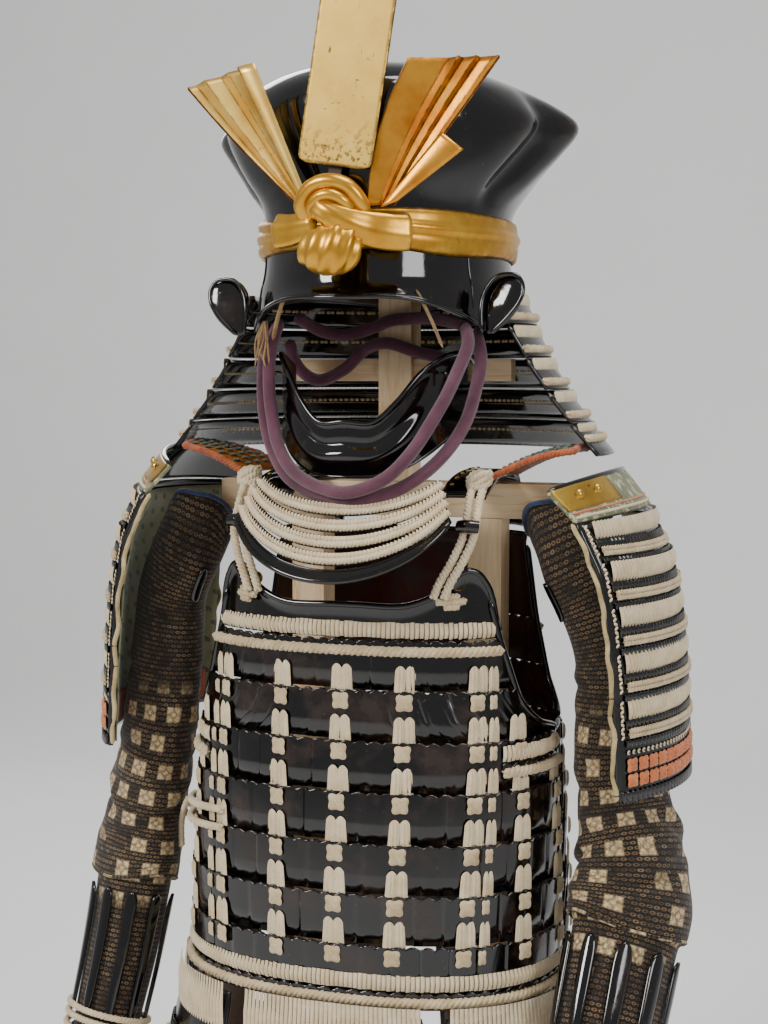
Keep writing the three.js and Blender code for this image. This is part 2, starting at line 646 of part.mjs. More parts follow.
function sleevePoint(rows, side, u, k, out = 0) {
  const row = rows[k];
  const above = rows[Math.max(k - 1, 0)];
  const below = rows[Math.min(k + 1, rows.length - 1)];
  const along = point(below.x - above.x, below.y - above.y, below.z - above.z).normalize();
  const twist = radians(SLEEVE_TWIST);
  const wide = point(Math.cos(twist), Math.sin(twist), 0);
  wide.addScaledVector(along, -wide.dot(along)).normalize();
  const deep = along.clone().cross(wide);
  const turn = u * Math.PI * 2;
  const place = point(row.x, row.y, row.z);
  place.addScaledVector(wide, (row.long + out) * Math.cos(turn));
  place.addScaledVector(deep, (row.short + out) * Math.sin(turn));
  if (k === 0) place.z += SLEEVE_RISE * ease(-Math.cos(turn + 0.35), 0.1, 0.95);
  place.x *= side;
  return place;
}

function addSleeves() {
  for (const [side, hand] of [[-1, 'right'], [1, 'left']]) {
    const rows = SLEEVE_ROWS[hand];
    const last = rows.length - 1;
    const surface = (u, v) => sleevePoint(rows, side, -side * u, Math.round(v * last));
    addPiece(`sleeve_${hand}`, wall(surface, 16, last, -CLOTH, true), 'brocade');
  }
}

// ---- Skirt ----
const SKIRT = { panels: 7, halfAngle: 23.4, top: 416, bottom: 172, out: 8, flare: 56, wall: 4 };

function addSkirt() {
  for (let k = 0; k < SKIRT.panels; k++) {
    const middle = (k * 360) / SKIRT.panels;
    const surface = (u, v) => {
      const spread = SKIRT.halfAngle * mix(0.94, 1, v);
      const z = mix(SKIRT.top, SKIRT.bottom, v);
      const place = torsoPoint(middle + mix(-spread, spread, u), CUIRASS_HEM, SKIRT.out + SKIRT.flare * v);
      place.z = z;
      return place;
    };
    addPiece(`skirt_panel_${k + 1}`, wall(surface, 6, 4, SKIRT.wall), 'laced');
  }
}

// ---- Cords ----
// Routes chosen by hand: columns x, y, z.
const CHIN_CORD = [
  [-84, -46, 1048], [-87, -56, 1036], [-90, -64, 1008], [-87, -71, 975], [-81, -77, 952],
  [-72, -87, 930], [-52, -101, 907], [-22, -112, 893], [6, -118, 889], [40, -118, 901],
  [66, -107, 928], [84, -92, 962], [97, -76, 995], [104, -62, 1022], [98, -48, 1044],
];
const SHOULDER_CORD = [
  [115, -46, 903], [113, -62, 888], [113, -78, 866], [112, -88, 848],
  [104, -97, 826], [95, -104, 808], [90, -106, 795],
];
const SIDE_TIE = { start: -36, end: -82, high: 586, low: 576, out: 8, radius: 4, points: 9 };

function addCords() {
  const chin = CHIN_CORD.map((p) => point(...p));
  addPiece('chin_cord', tube(chin, CORD_RADIUS, 34), 'cord');
  for (const [side, hand] of [[-1, 'right'], [1, 'left']]) {
    const route = SHOULDER_CORD.map(([x, y, z]) => point(side * x, y, z));
    addPiece(`shoulder_cord_${hand}`, tube(route, BRAID_RADIUS, 12), 'braid');
  }
  const tie = [];
  for (let i = 0; i < SIDE_TIE.points; i++) {
    const share = i / (SIDE_TIE.points - 1);
    const z = mix(SIDE_TIE.high, SIDE_TIE.low, share);
    tie.push(torsoPoint(mix(SIDE_TIE.start, SIDE_TIE.end, share), z, SIDE_TIE.out));
  }
  addPiece('side_tie', tube(tie, SIDE_TIE.radius, 12), 'braid');
}

addStand();
addBowl();
addHeadband();
addKnot();
addFans();
addCrest();
addTurnBacks();
addNeckGuard();
addMask();
addThroatGuard();
addFront();
addBack();
addShoulders();
addGuards();
addSleeves();
addSkirt();
addCords();

export default armour;
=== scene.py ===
# Samurai armour on a pine stand. Lengths are millimetres until a mesh is made, +Z up.
# The wearer faces -Y and the wearer's left is +X.
import math
import bpy
import numpy as np
from mathutils import Matrix, Vector


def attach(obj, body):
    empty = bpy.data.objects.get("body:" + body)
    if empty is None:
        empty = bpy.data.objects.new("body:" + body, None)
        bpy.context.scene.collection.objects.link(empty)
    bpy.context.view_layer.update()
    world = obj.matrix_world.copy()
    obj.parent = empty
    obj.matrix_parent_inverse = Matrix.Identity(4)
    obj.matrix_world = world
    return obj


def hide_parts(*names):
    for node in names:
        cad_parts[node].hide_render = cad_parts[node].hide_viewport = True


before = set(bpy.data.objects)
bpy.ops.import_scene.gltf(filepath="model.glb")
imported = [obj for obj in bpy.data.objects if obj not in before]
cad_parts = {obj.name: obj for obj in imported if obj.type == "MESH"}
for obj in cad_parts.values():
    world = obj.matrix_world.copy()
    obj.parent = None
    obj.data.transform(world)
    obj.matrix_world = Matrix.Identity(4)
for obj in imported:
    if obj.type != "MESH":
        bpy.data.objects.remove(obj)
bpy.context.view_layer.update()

MM = 0.001
HANDS = (("right", -1), ("left", 1))


# ---- Numbers and tables ----
def linear(red, green, blue):
    """A colour given as 0 to 255 display values, as the shaders take it."""
    return tuple((c / 255) ** 2.2 for c in (red, green, blue)) + (1.0,)


def column(rows, name):
    return np.array([row[name] for row in rows], float)


def read(rows, key, value, name):
    """Straight-line reading of a table whose rows rise in the key column."""
    return np.interp(value, column(rows, key), column(rows, name))


def flow(rows, key, value, name):
    """Smooth reading of the same table, with no corner at a row."""
    keys = column(rows, key)
    values = column(rows, name)
    slopes = np.gradient(values, keys)
    value = np.clip(value, keys[0], keys[-1])
    i = np.clip(np.searchsorted(keys, value) - 1, 0, len(keys) - 2)
    gap = keys[i + 1] - keys[i]
    t = (value - keys[i]) / gap
    start = (2 * t ** 3 - 3 * t ** 2 + 1) * values[i] + (t ** 3 - 2 * t ** 2 + t) * gap * slopes[i]
    end = (3 * t ** 2 - 2 * t ** 3) * values[i + 1] + (t ** 3 - t ** 2) * gap * slopes[i + 1]
    return start + end


def mix(a, b, t):
    return a + (b - a) * t


def ease(value, low, high):
    t = np.clip((value - low) / (high - low), 0, 1)
    return t * t * (3 - 2 * t)


def bump(value, middle, width):
    return np.exp(-(((value - middle) / width) ** 2))


def points_of(x, y, z):
    return np.stack(np.broadcast_arrays(x, y, z), axis=-1).astype(float)


def unit(vectors):
    return vectors / np.maximum(np.linalg.norm(vectors, axis=-1, keepdims=True), 1e-9)


def travelled(line):
    """The distance run along a line, at each of its points."""
    return np.concatenate([[0], np.cumsum(np.linalg.norm(np.diff(line, axis=0), axis=1))])


# ---- Meshes ----
def piece(name, points, faces, material, body="armour", uv=None, sharp=40, extra=(), marks=None):
    """A finished piece in place, riding on its body. uv and marks hold a value for each point."""
    mesh = bpy.data.meshes.new(name)
    mesh.from_pydata((np.asarray(points, float).reshape(-1, 3) * MM).tolist(), [], faces)
    for finish in (material, *extra):
        mesh.materials.append(finish)
    if uv is not None:
        layer = mesh.uv_layers.new(name="UVMap")
        corners = np.empty(len(mesh.loops), int)
        mesh.loops.foreach_get("vertex_index", corners)
        layer.data.foreach_set("uv", (np.asarray(uv, float).reshape(-1, 2) * MM)[corners].ravel())
    if marks is not None:
        wear = np.ravel(np.broadcast_to(marks, np.asarray(points).shape[:-1])).astype(float)
        mesh.attributes.new("mark", "FLOAT", "POINT").data.foreach_set("value", wear)
    mesh.shade_smooth()
    mesh.set_sharp_from_angle(angle=math.radians(sharp))
    item = bpy.data.objects.new(name, mesh)
    bpy.context.scene.collection.objects.link(item)
    if body:
        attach(item, body)
    return item


def grid_faces(rows, columns, closed=False):
    wide = columns if closed else columns - 1
    faces = []
    for j in range(rows - 1):
        for i in range(wide):
            k = (i + 1) % columns
            faces.append((j * columns + i, j * columns + k, (j + 1) * columns + k, (j + 1) * columns + i))
    return faces


def lengths(grid):
    """Distances across and down a grid of points, as a flat pattern for its weave."""
    across = np.linalg.norm(np.diff(grid, axis=1), axis=2).mean(axis=0)
    down = np.linalg.norm(np.diff(grid, axis=0), axis=2).mean(axis=1)
    across = np.concatenate([[0], np.cumsum(across)])
    down = np.concatenate([[0], np.cumsum(down)])
    return np.stack(np.meshgrid(across - across[-1] / 2, down), axis=-1)


def shell(name, grid, material, thickness, inside, body="armour", closed=False, sharp=50, inner=None,
          rim=None, marks=None):
    """A thin wall on a grid of points. Its outer face is the grid, turned away from `inside`."""
    grid = np.asarray(grid, float)
    rows, columns = grid.shape[:2]
    faces = grid_faces(rows, columns, closed)
    flat = grid.reshape(-1, 3)
    corners = flat[np.array(faces)]
    normals = np.cross(corners[:, 2] - corners[:, 0], corners[:, 3] - corners[:, 1])
    outward = corners.mean(axis=1) - np.asarray(inside, float)
    if (normals * outward).sum() < 0:
        faces = [tuple(reversed(face)) for face in faces]
    extra = tuple(finish for finish in (inner, rim) if finish)
    if marks is not None:
        marks = np.ravel(np.broadcast_to(marks, grid.shape[:2]))
    item = piece(name, flat, faces, material, body, lengths(grid), sharp, extra, marks)
    wall = item.modifiers.new("wall", "SOLIDIFY")
    wall.thickness = thickness * MM
    wall.offset = -1
    wall.use_even_offset = False
    if inner:
        wall.material_offset = 1
    if rim:
        wall.material_offset_rim = 2 if inner else 1
    return made_plain(item)


def made_plain(item):
    """The same piece with its modifiers worked into its mesh."""
    graph = bpy.context.evaluated_depsgraph_get()
    mesh = bpy.data.meshes.new_from_object(item.evaluated_get(graph))
    item.modifiers.clear()
    item.data = mesh
    return item


def sweep(name, path, radius, material, sides=14, folds=0, fold_depth=0.0, twist=0.0,
          flat=1.0, ends="round", up=(0, 0, 1)):
    """A rolled length of cloth or metal along a path: radius may change, and folds run along it."""
    path = np.asarray(path, float)
    n = len(path)
    along = unit(np.gradient(path, axis=0))
    radius = np.broadcast_to(np.asarray(radius, float), (n,)).copy()
    share = np.linspace(0, 1, n)
    if ends == "round":
        radius *= np.sqrt(np.clip(1 - (1 - np.minimum(share, 1 - share) * n / 2.5) ** 2, 0.02, 1)
                          * (np.minimum(share, 1 - share) * n / 2.5 < 1)
                          + (np.minimum(share, 1 - share) * n / 2.5 >= 1))
    side = unit(np.cross(along, np.broadcast_to(np.asarray(up, float), along.shape)))
    high = unit(np.cross(side, along))
    turn = np.linspace(0, 2 * math.pi, sides, endpoint=False)
    angle = turn[None, :] + twist * share[:, None]
    reach = radius[:, None] * (1 + fold_depth * np.cos(folds * angle) * bool(folds))
    grid = path[:, None, :] + side[:, None, :] * (reach * np.cos(turn))[..., None]
    grid = grid + high[:, None, :] * (reach * flat * np.sin(turn))[..., None]
    points = np.concatenate([grid.reshape(-1, 3), path[:1], path[-1:]])
    faces = [tuple(reversed(face)) for face in grid_faces(n, sides, True)]
    first, last = n * sides, n * sides + 1
    for i in range(sides):
        k = (i + 1) % sides
        faces.append((first, k, i))
        faces.append((last, (n - 1) * sides + i, (n - 1) * sides + k))
    travel = travelled(path)
    uv = np.stack([np.tile(turn * radius.mean(), n), np.repeat(travel, sides)], axis=-1)
    uv = np.concatenate([uv, [[0, 0], [0, travel[-1]]]])
    item = piece(name, points, faces, material, "armour", uv, 60)
    return faced_out(item)


def faced_out(item):
    """Turns a closed piece's faces outwards."""
    mesh = item.data
    mesh.calc_loop_triangles()
    volume = sum(a.dot(b.cross(c)) for a, b, c in
                 ([mesh.vertices[i].co for i in t.vertices] for t in mesh.loop_triangles))
    if volume < 0:
        mesh.flip_normals()
    return item


def route(points, count, closed=False):
    """A smooth path of evenly spaced points through the given ones."""
    points = np.asarray(points, float)
    if closed:
        points = np.concatenate([points, points[:1]])
    keys = np.concatenate([[0], np.cumsum(np.sqrt(np.linalg.norm(np.diff(points, axis=0), axis=1)))])
    rows = [{"k": k, "x": p[0], "y": p[1], "z": p[2]} for k, p in zip(keys, points)]
    fine = np.linspace(0, keys[-1], count * 8)
    line = points_of(*(flow(rows, "k", fine, name) for name in "xyz"))
    travel = travelled(line)
    even = np.linspace(0, travel[-1], count)
    return np.stack([np.interp(even, travel, line[:, i]) for i in range(3)], axis=-1)


def joined(name, items):
    """Several pieces of one body as one piece."""
    items = [item for item in items if item is not None]
    with bpy.context.temp_override(active_object=items[0], selected_editable_objects=items,
                                   selected_objects=items):
        bpy.ops.object.join()
    items[0].name = name
    items[0].data.name = name
    return items[0]


# ---- Node trees ----
class Net:
    """Adds nodes to a tree: values are numbers, colours or another node's output socket."""

    def __init__(self, tree):
        self.tree = tree

    def add(self, kind, values=None, **settings):
        node = self.tree.nodes.new(kind)
        for key, value in settings.items():
            setattr(node, key, value)
        for socket, value in (values or {}).items():
            if isinstance(value, bpy.types.NodeSocket):
                self.tree.links.new(value, node.inputs[socket])
            else:
                node.inputs[socket].default_value = value
        return node

    def math(self, operation, a, b=0.0, clamp=False):
        return self.add("ShaderNodeMath", {0: a, 1: b}, operation=operation, use_clamp=clamp).outputs[0]

    def blend(self, share, a, b):
        values = {0: share, 6: a, 7: b}
        return self.add("ShaderNodeMix", values, data_type="RGBA").outputs[2]

    def span(self, value, low, high, to_low=0.0, to_high=1.0):
        values = {0: value, 1: low, 2: high, 3: to_low, 4: to_high}
        return self.add("ShaderNodeMapRange", values).outputs[0]


def socket(tree, name, kind, output=False, value=None):
    made = tree.interface.new_socket(name, in_out="OUTPUT" if output else "INPUT", socket_type=kind)
    if value is not None:
        made.default_value = value
    return made


def copies_tree():
    """One shape set at every point, turned by `turn` and stretched by `size`."""
    tree = bpy.data.node_groups.new("copies", "GeometryNodeTree")
    socket(tree, "Places", "NodeSocketGeometry")
    socket(tree, "Shape", "NodeSocketObject")
    socket(tree, "Finish", "NodeSocketMaterial")
    socket(tree, "Result", "NodeSocketGeometry", output=True)
    net = Net(tree)
    given = net.add("NodeGroupInput")
    shape = net.add("GeometryNodeObjectInfo", {"Object": given.outputs["Shape"]})
    turn = net.add("GeometryNodeInputNamedAttribute", {"Name": "turn"}, data_type="FLOAT_VECTOR")
    size = net.add("GeometryNodeInputNamedAttribute", {"Name": "size"}, data_type="FLOAT_VECTOR")
    rotation = net.add("FunctionNodeEulerToRotation", {0: turn.outputs[0]})
    values = {"Points": given.outputs["Places"], "Instance": shape.outputs["Geometry"],
              "Rotation": rotation.outputs[0], "Scale": size.outputs[0]}
    copies = net.add("GeometryNodeInstanceOnPoints", values)
    real = net.add("GeometryNodeRealizeInstances", {0: copies.outputs[0]})
    finish = net.add("GeometryNodeSetMaterial", {0: real.outputs[0], "Material": given.outputs["Finish"]})
    net.add("NodeGroupOutput", {"Result": finish.outputs[0]})
    return tree


def rope_tree():
    """Round strands laid up along a path."""
    tree = bpy.data.node_groups.new("laid rope", "GeometryNodeTree")
    socket(tree, "Path", "NodeSocketGeometry")
    socket(tree, "Strands", "NodeSocketInt", value=3)
    socket(tree, "Strand Radius", "NodeSocketFloat", value=0.002)
    socket(tree, "Spread", "NodeSocketFloat", value=0.002)
    socket(tree, "Pitch", "NodeSocketFloat", value=0.02)
    socket(tree, "Sides", "NodeSocketInt", value=5)
    socket(tree, "Finish", "NodeSocketMaterial")
    socket(tree, "Result", "NodeSocketGeometry", output=True)
    net = Net(tree)
    given = net.add("NodeGroupInput")
    step = net.math("DIVIDE", given.outputs["Pitch"], 5.0)
    values = {"Curve": given.outputs["Path"], "Length": step}
    even = net.add("GeometryNodeResampleCurve", values, mode="LENGTH")
    values = {"Geometry": even.outputs[0], "Amount": given.outputs["Strands"]}
    strands = net.add("GeometryNodeDuplicateElements", values, domain="SPLINE")
    along = net.add("GeometryNodeSplineParameter")
    turns = net.math("DIVIDE", along.outputs["Length"], given.outputs["Pitch"])
    share = net.math("DIVIDE", strands.outputs["Duplicate Index"], given.outputs["Strands"])
    angle = net.math("MULTIPLY", net.math("ADD", turns, share), 2 * math.pi)
    normal = net.add("GeometryNodeInputNormal").outputs[0]
    tangent = net.add("GeometryNodeInputTangent").outputs[0]
    side = net.add("ShaderNodeVectorMath", {0: normal, 1: tangent}, operation="CROSS_PRODUCT").outputs[0]
    values = {0: normal, "Scale": net.math("COSINE", angle)}
    first = net.add("ShaderNodeVectorMath", values, operation="SCALE").outputs[0]
    values = {0: side, "Scale": net.math("SINE", angle)}
    second = net.add("ShaderNodeVectorMath", values, operation="SCALE").outputs[0]
    both = net.add("ShaderNodeVectorMath", {0: first, 1: second}, operation="ADD").outputs[0]
    values = {0: both, "Scale": given.outputs["Spread"]}
    offset = net.add("ShaderNodeVectorMath", values, operation="SCALE").outputs[0]
    moved = net.add("GeometryNodeSetPosition", {"Geometry": strands.outputs[0], "Offset": offset})
    values = {"Resolution": given.outputs["Sides"], "Radius": given.outputs["Strand Radius"]}
    ring = net.add("GeometryNodeCurvePrimitiveCircle", values)
    values = {"Curve": moved.outputs[0], "Profile Curve": ring.outputs[0], "Fill Caps": True}
    mesh = net.add("GeometryNodeCurveToMesh", values)
    smooth = net.add("GeometryNodeSetShadeSmooth", {0: mesh.outputs[0]})
    real = net.add("GeometryNodeRealizeInstances", {0: smooth.outputs[0]})
    finish = net.add("GeometryNodeSetMaterial", {0: real.outputs[0], "Material": given.outputs["Finish"]})
    net.add("NodeGroupOutput", {"Result": finish.outputs[0]})
    return tree


COPIES = copies_tree()
ROPE = rope_tree()


def run_tree(item, tree, values):
    """Works a tree into an object's mesh and returns the mesh."""
    change = item.modifiers.new("tree", "NODES")
    change.node_group = tree
    for entry in tree.interface.items_tree:
        if entry.item_type == "SOCKET" and entry.in_out == "INPUT" and entry.name in values:
            change[entry.identifier] = values[entry.name]
    graph = bpy.context.evaluated_depsgraph_get()
    mesh = bpy.data.meshes.new_from_object(item.evaluated_get(graph))
    item.modifiers.clear()
    bpy.data.objects.remove(item)
    return mesh


def copies(name, shape, frames, material):
    """Copies of a shape: a frame holds its place, its across, up and out directions, and its size."""
    mesh = bpy.data.meshes.new(name + "_places")
    mesh.from_pydata([tuple(np.asarray(f[0]) * MM) for f in frames], [], [])
    turns = []
    sizes = []
    for _, across, up, out, size in frames:
        turns.extend(Matrix((across, up, out)).transposed().to_euler())
        sizes.extend(size if hasattr(size, "__len__") else (size, size, size))
    mesh.attributes.new("turn", "FLOAT_VECTOR", "POINT").data.foreach_set("vector", turns)
    mesh.attributes.new("size", "FLOAT_VECTOR", "POINT").data.foreach_set("vector", sizes)
    places = bpy.data.objects.new(name, mesh)
    bpy.context.scene.collection.objects.link(places)
    made = run_tree(places, COPIES, {"Shape": shape, "Finish": material})
    made.name = name
    item = bpy.data.objects.new(name, made)
    bpy.context.scene.collection.objects.link(item)
    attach(item, "armour")
    return item


def path_object(name, path):
    curve = bpy.data.curves.new(name + "_path", "CURVE")
    curve.dimensions = "3D"
    line = curve.splines.new("POLY")
    line.points.add(len(path) - 1)
    places = np.concatenate([np.asarray(path) * MM, np.ones((len(path), 1))], axis=1)
    line.points.foreach_set("co", places.ravel())
    item = bpy.data.objects.new(name + "_path", curve)
    bpy.context.scene.collection.objects.link(item)
    return item


def rope(name, path, radius, pitch, material, strands=3):
    """A laid rope whose outer radius is `radius`."""
    core = 1 / (1 + math.sin(math.pi / strands))
    values = {"Strands": strands, "Strand Radius": radius * (1 - core) * 1.12 * MM,
              "Spread": radius * core * MM, "Pitch": pitch * MM, "Finish": material,
              "Sides": 5 if radius > 3.2 else 4}
    made = run_tree(path_object(name, path), ROPE, values)
    made.name = name
    item = bpy.data.objects.new(name, made)
    bpy.context.scene.collection.objects.link(item)
    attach(item, "armour")
    return item


def frame_on(surface, u, v, lift=0.0, size=1.0, spin=0.0):
    """A copy's frame on surface(u, v, out): up runs towards smaller v."""
    place = surface(u, v, lift)
    out = unit(surface(u, v, lift + 1) - place)
    up = surface(u, v - 0.5, lift) - surface(u, v + 0.5, lift)
    up = unit(up - out * (up * out).sum())
    across = np.cross(up, out)
    if spin:
        across, up = (across * math.cos(spin) + up * math.sin(spin),
                      up * math.cos(spin) - across * math.sin(spin))
    return (place, across, up, out, size)


# ---- Shared effects ----
def effect(name, inputs, outputs):
    tree = bpy.data.node_groups.new(name, "ShaderNodeTree")
    for label, kind, value in inputs:
        socket(tree, label, kind, value=value)
    for label, kind in outputs:
        socket(tree, label, kind, output=True)
    net = Net(tree)
    return tree, net, net.add("NodeGroupInput")


def mottle_effect():
    """Patches from a soft noise: a mask between two levels, and the noise itself."""
    number = "NodeSocketFloat"
    tree, net, given = effect("mottle", [("Vector", "NodeSocketVector", None), ("Scale", number, 30.0),
                              ("Low", number, 0.45), ("High", number, 0.6)],
                              [("Mask", number), ("Height", number)])
    values = {"Vector": given.outputs["Vector"], "Scale": given.outputs["Scale"], "Detail": 5.0,
              "Roughness": 0.62}
    noise = net.add("ShaderNodeTexNoise", values).outputs["Fac"]
    mask = net.span(noise, given.outputs["Low"], given.outputs["High"])
    net.add("NodeGroupOutput", {"Mask": mask, "Height": noise})
    return tree


def threads_effect():
    """Fine threads along and across a flat pattern measured in metres."""
    number = "NodeSocketFloat"
    tree, net, given = effect("threads", [("Vector", "NodeSocketVector", None), ("Across", number, 0.0012),
                              ("Along", number, 0.0012)], [("Height", number)])
    parts = net.add("ShaderNodeSeparateXYZ", {0: given.outputs["Vector"]})
    across = net.math("DIVIDE", parts.outputs["X"], given.outputs["Across"])
    along = net.math("DIVIDE", parts.outputs["Y"], given.outputs["Along"])
    warp = net.math("ABSOLUTE", net.math("SINE", net.math("MULTIPLY", across, math.pi)))
    shifted = net.math("ADD", along, net.math("MULTIPLY", net.math("FLOOR", across), 0.5))
    weft = net.math("ABSOLUTE", net.math("SINE", net.math("MULTIPLY", shifted, math.pi)))
    net.add("NodeGroupOutput", {"Height": net.math("MULTIPLY", warp, weft)})
    return tree


def cells_effect():
    """Staggered cells: the distance from each cell's middle, and a number for each cell."""
    number = "NodeSocketFloat"
    tree, net, given = effect("cells", [("Vector", "NodeSocketVector", None), ("Wide", number, 0.01),
                              ("High", number, 0.01), ("Stagger", number, 0.5)],
                              [("X", number), ("Y", number), ("Chance", number)])
    parts = net.add("ShaderNodeSeparateXYZ", {0: given.outputs["Vector"]})
    row = net.math("DIVIDE", parts.outputs["Y"], given.outputs["High"])
    row_number = net.math("FLOOR", row)
    shift = net.math("MULTIPLY", net.math("FRACT", net.math("MULTIPLY", row_number, 0.5)), 2.0)
    shift = net.math("MULTIPLY", shift, given.outputs["Stagger"])
    line = net.math("ADD", net.math("DIVIDE", parts.outputs["X"], given.outputs["Wide"]), shift)
    x = net.math("SUBTRACT", net.math("FRACT", line), 0.5)
    y = net.math("SUBTRACT", net.math("FRACT", row), 0.5)
    place = net.add("ShaderNodeCombineXYZ", {0: net.math("FLOOR", line), 1: row_number})
    chance = net.add("ShaderNodeTexWhiteNoise", {"Vector": place.outputs[0]}).outputs["Value"]
    net.add("NodeGroupOutput", {"X": x, "Y": y, "Chance": chance})
    return tree


MOTTLE = mottle_effect()
THREADS = threads_effect()
CELLS = cells_effect()


class Finish(Net):
    """A material under way, with its principled shader."""

    def __init__(self, name, **plain):
        self.material = bpy.data.materials.new(name)
        self.material.use_nodes = True
        super().__init__(self.material.node_tree)
        self.shader = self.tree.nodes["Principled BSDF"]
        for label, value in plain.items():
            self.shader.inputs[label.replace("_", " ")].default_value = value
        place = self.add("ShaderNodeTexCoord")
        self.object = place.outputs["Object"]
        self.flat = place.outputs["UV"]

    def use(self, tree, vector, **values):
        node = self.add("ShaderNodeGroup", None, node_tree=tree)
        self.tree.links.new(vector, node.inputs["Vector"])
        for label, value in values.items():
            node.inputs[label].default_value = value
        return node

    def patches(self, scale, low=0.45, high=0.6, vector=None):
        return self.use(MOTTLE, vector or self.object, Scale=scale, Low=low, High=high).outputs["Mask"]

    def stretched(self, x, y, z):
        return self.add("ShaderNodeMapping", {"Vector": self.object, "Scale": (x, y, z)}).outputs[0]

    def give(self, **sockets):
        for label, value in sockets.items():
            self.tree.links.new(value, self.shader.inputs[label.replace("_", " ")])

    def relief(self, height, strength, distance):
        values = {"Height": height, "Strength": strength, "Distance": distance}
        self.give(Normal=self.add("ShaderNodeBump", values).outputs[0])


def lacquer_finish(name, base, worn, wear_low, gloss):
    f = Finish(name, IOR=1.5, Coat_Weight=0.25, Coat_Roughness=0.06)
    wear = f.patches(22, wear_low, wear_low + 0.16)
    specks = f.patches(240, 0.66, 0.72)
    colour = f.blend(wear, linear(*base), linear(*worn))
    f.give(Base_Color=f.blend(f.math("MULTIPLY", specks, 0.5), colour, linear(96, 70, 48)))
    f.give(Roughness=f.span(f.math("MAXIMUM", wear, specks), 0, 1, gloss, gloss + 0.2))
    f.relief(f.use(MOTTLE, f.object, Scale=34).outputs["Height"], 0.12, 0.0012)
    return f.material


def gilt_finish(name, bright, deep, wear_low, roughness):
    f = Finish(name, Metallic=0.82, IOR=1.45)
    # Where the mark attribute is set, at folds, creases, joins and edges, the colour is darkened as painted shade
    # in place of occlusion. The worn patches are real wear.
    mark = f.add("ShaderNodeAttribute", attribute_name="mark").outputs["Fac"]
    tone = f.blend(f.patches(26, 0.35, 0.68), linear(*bright), linear(*deep))
    worn = f.patches(120, wear_low, wear_low + 0.09)
    crease_shade = f.math("MULTIPLY", mark, f.patches(70, 0.36, 0.56))
    dark = f.math("MAXIMUM", worn, crease_shade, clamp=True)
    f.give(Base_Color=f.blend(f.math("MULTIPLY", dark, 0.85), tone, linear(62, 32, 16)))
    f.give(Roughness=f.span(dark, 0, 1, roughness, 0.62))
    f.relief(f.use(MOTTLE, f.object, Scale=160).outputs["Height"], 0.25, 0.0006)
    return f.material


def crest_finish():
    """Matt leaf with fine hairline scratches and dark chips by the lower edge."""
    f = Finish("crest_leaf", Metallic=0.7, IOR=1.45)
    tone = f.blend(f.patches(30, 0.3, 0.7), linear(214, 178, 92), linear(196, 156, 70))
    hair = f.patches(150, 0.66, 0.70, f.stretched(1.0, 1.0, 0.28))
    cross = f.patches(130, 0.68, 0.71, f.stretched(0.4, 1.0, 1.2))
    height = f.add("ShaderNodeSeparateXYZ", {0: f.object}).outputs["Z"]
    low = f.math("MULTIPLY", f.patches(150, 0.52, 0.58), f.span(height, 1.182, 1.222, 1.0, 0.0))
    mark = f.add("ShaderNodeAttribute", attribute_name="mark").outputs["Fac"]
    edge = f.math("MULTIPLY", mark, f.patches(90, 0.44, 0.54))
    dark = f.math("MAXIMUM", f.math("MAXIMUM", hair, cross), f.math("MAXIMUM", low, edge), clamp=True)
    f.give(Base_Color=f.blend(f.math("MULTIPLY", dark, 0.8), tone, linear(70, 46, 24)))
    f.give(Roughness=f.span(dark, 0, 1, 0.46, 0.7))
    f.relief(f.math("MULTIPLY", dark, -1.0), 0.3, 0.0004)
    return f.material


def silk_finish(name, light, dark):
    f = Finish(name, Sheen_Weight=0.35, Sheen_Roughness=0.5, Roughness=0.82, IOR=1.4)
    tone = f.blend(f.patches(60, 0.35, 0.65), linear(*light), linear(*dark))
    fibre = f.patches(900, 0.35, 0.65)
    f.give(Base_Color=f.blend(f.math("MULTIPLY", fibre, 0.32), tone, linear(*(c * 0.6 for c in dark))))
    f.relief(f.use(MOTTLE, f.object, Scale=1100).outputs["Height"], 0.6, 0.0006)
    return f.material


def woven_finish(name, light, dark, thread=0.0014, fuzz=0.2):
    f = Finish(name, Sheen_Weight=fuzz, Sheen_Roughness=0.5, Roughness=0.88, IOR=1.4)
    weave = f.use(THREADS, f.flat, Across=thread, Along=thread).outputs["Height"]
    tone = f.blend(f.patches(24, 0.35, 0.65), linear(*light), linear(*dark))
    shade = f.span(weave, 0.0, 0.7, 0.55, 0.0)
    f.give(Base_Color=f.blend(shade, tone, linear(*(c * 0.45 for c in dark))))
    f.relief(weave, 0.5, 0.0006)
    return f.material


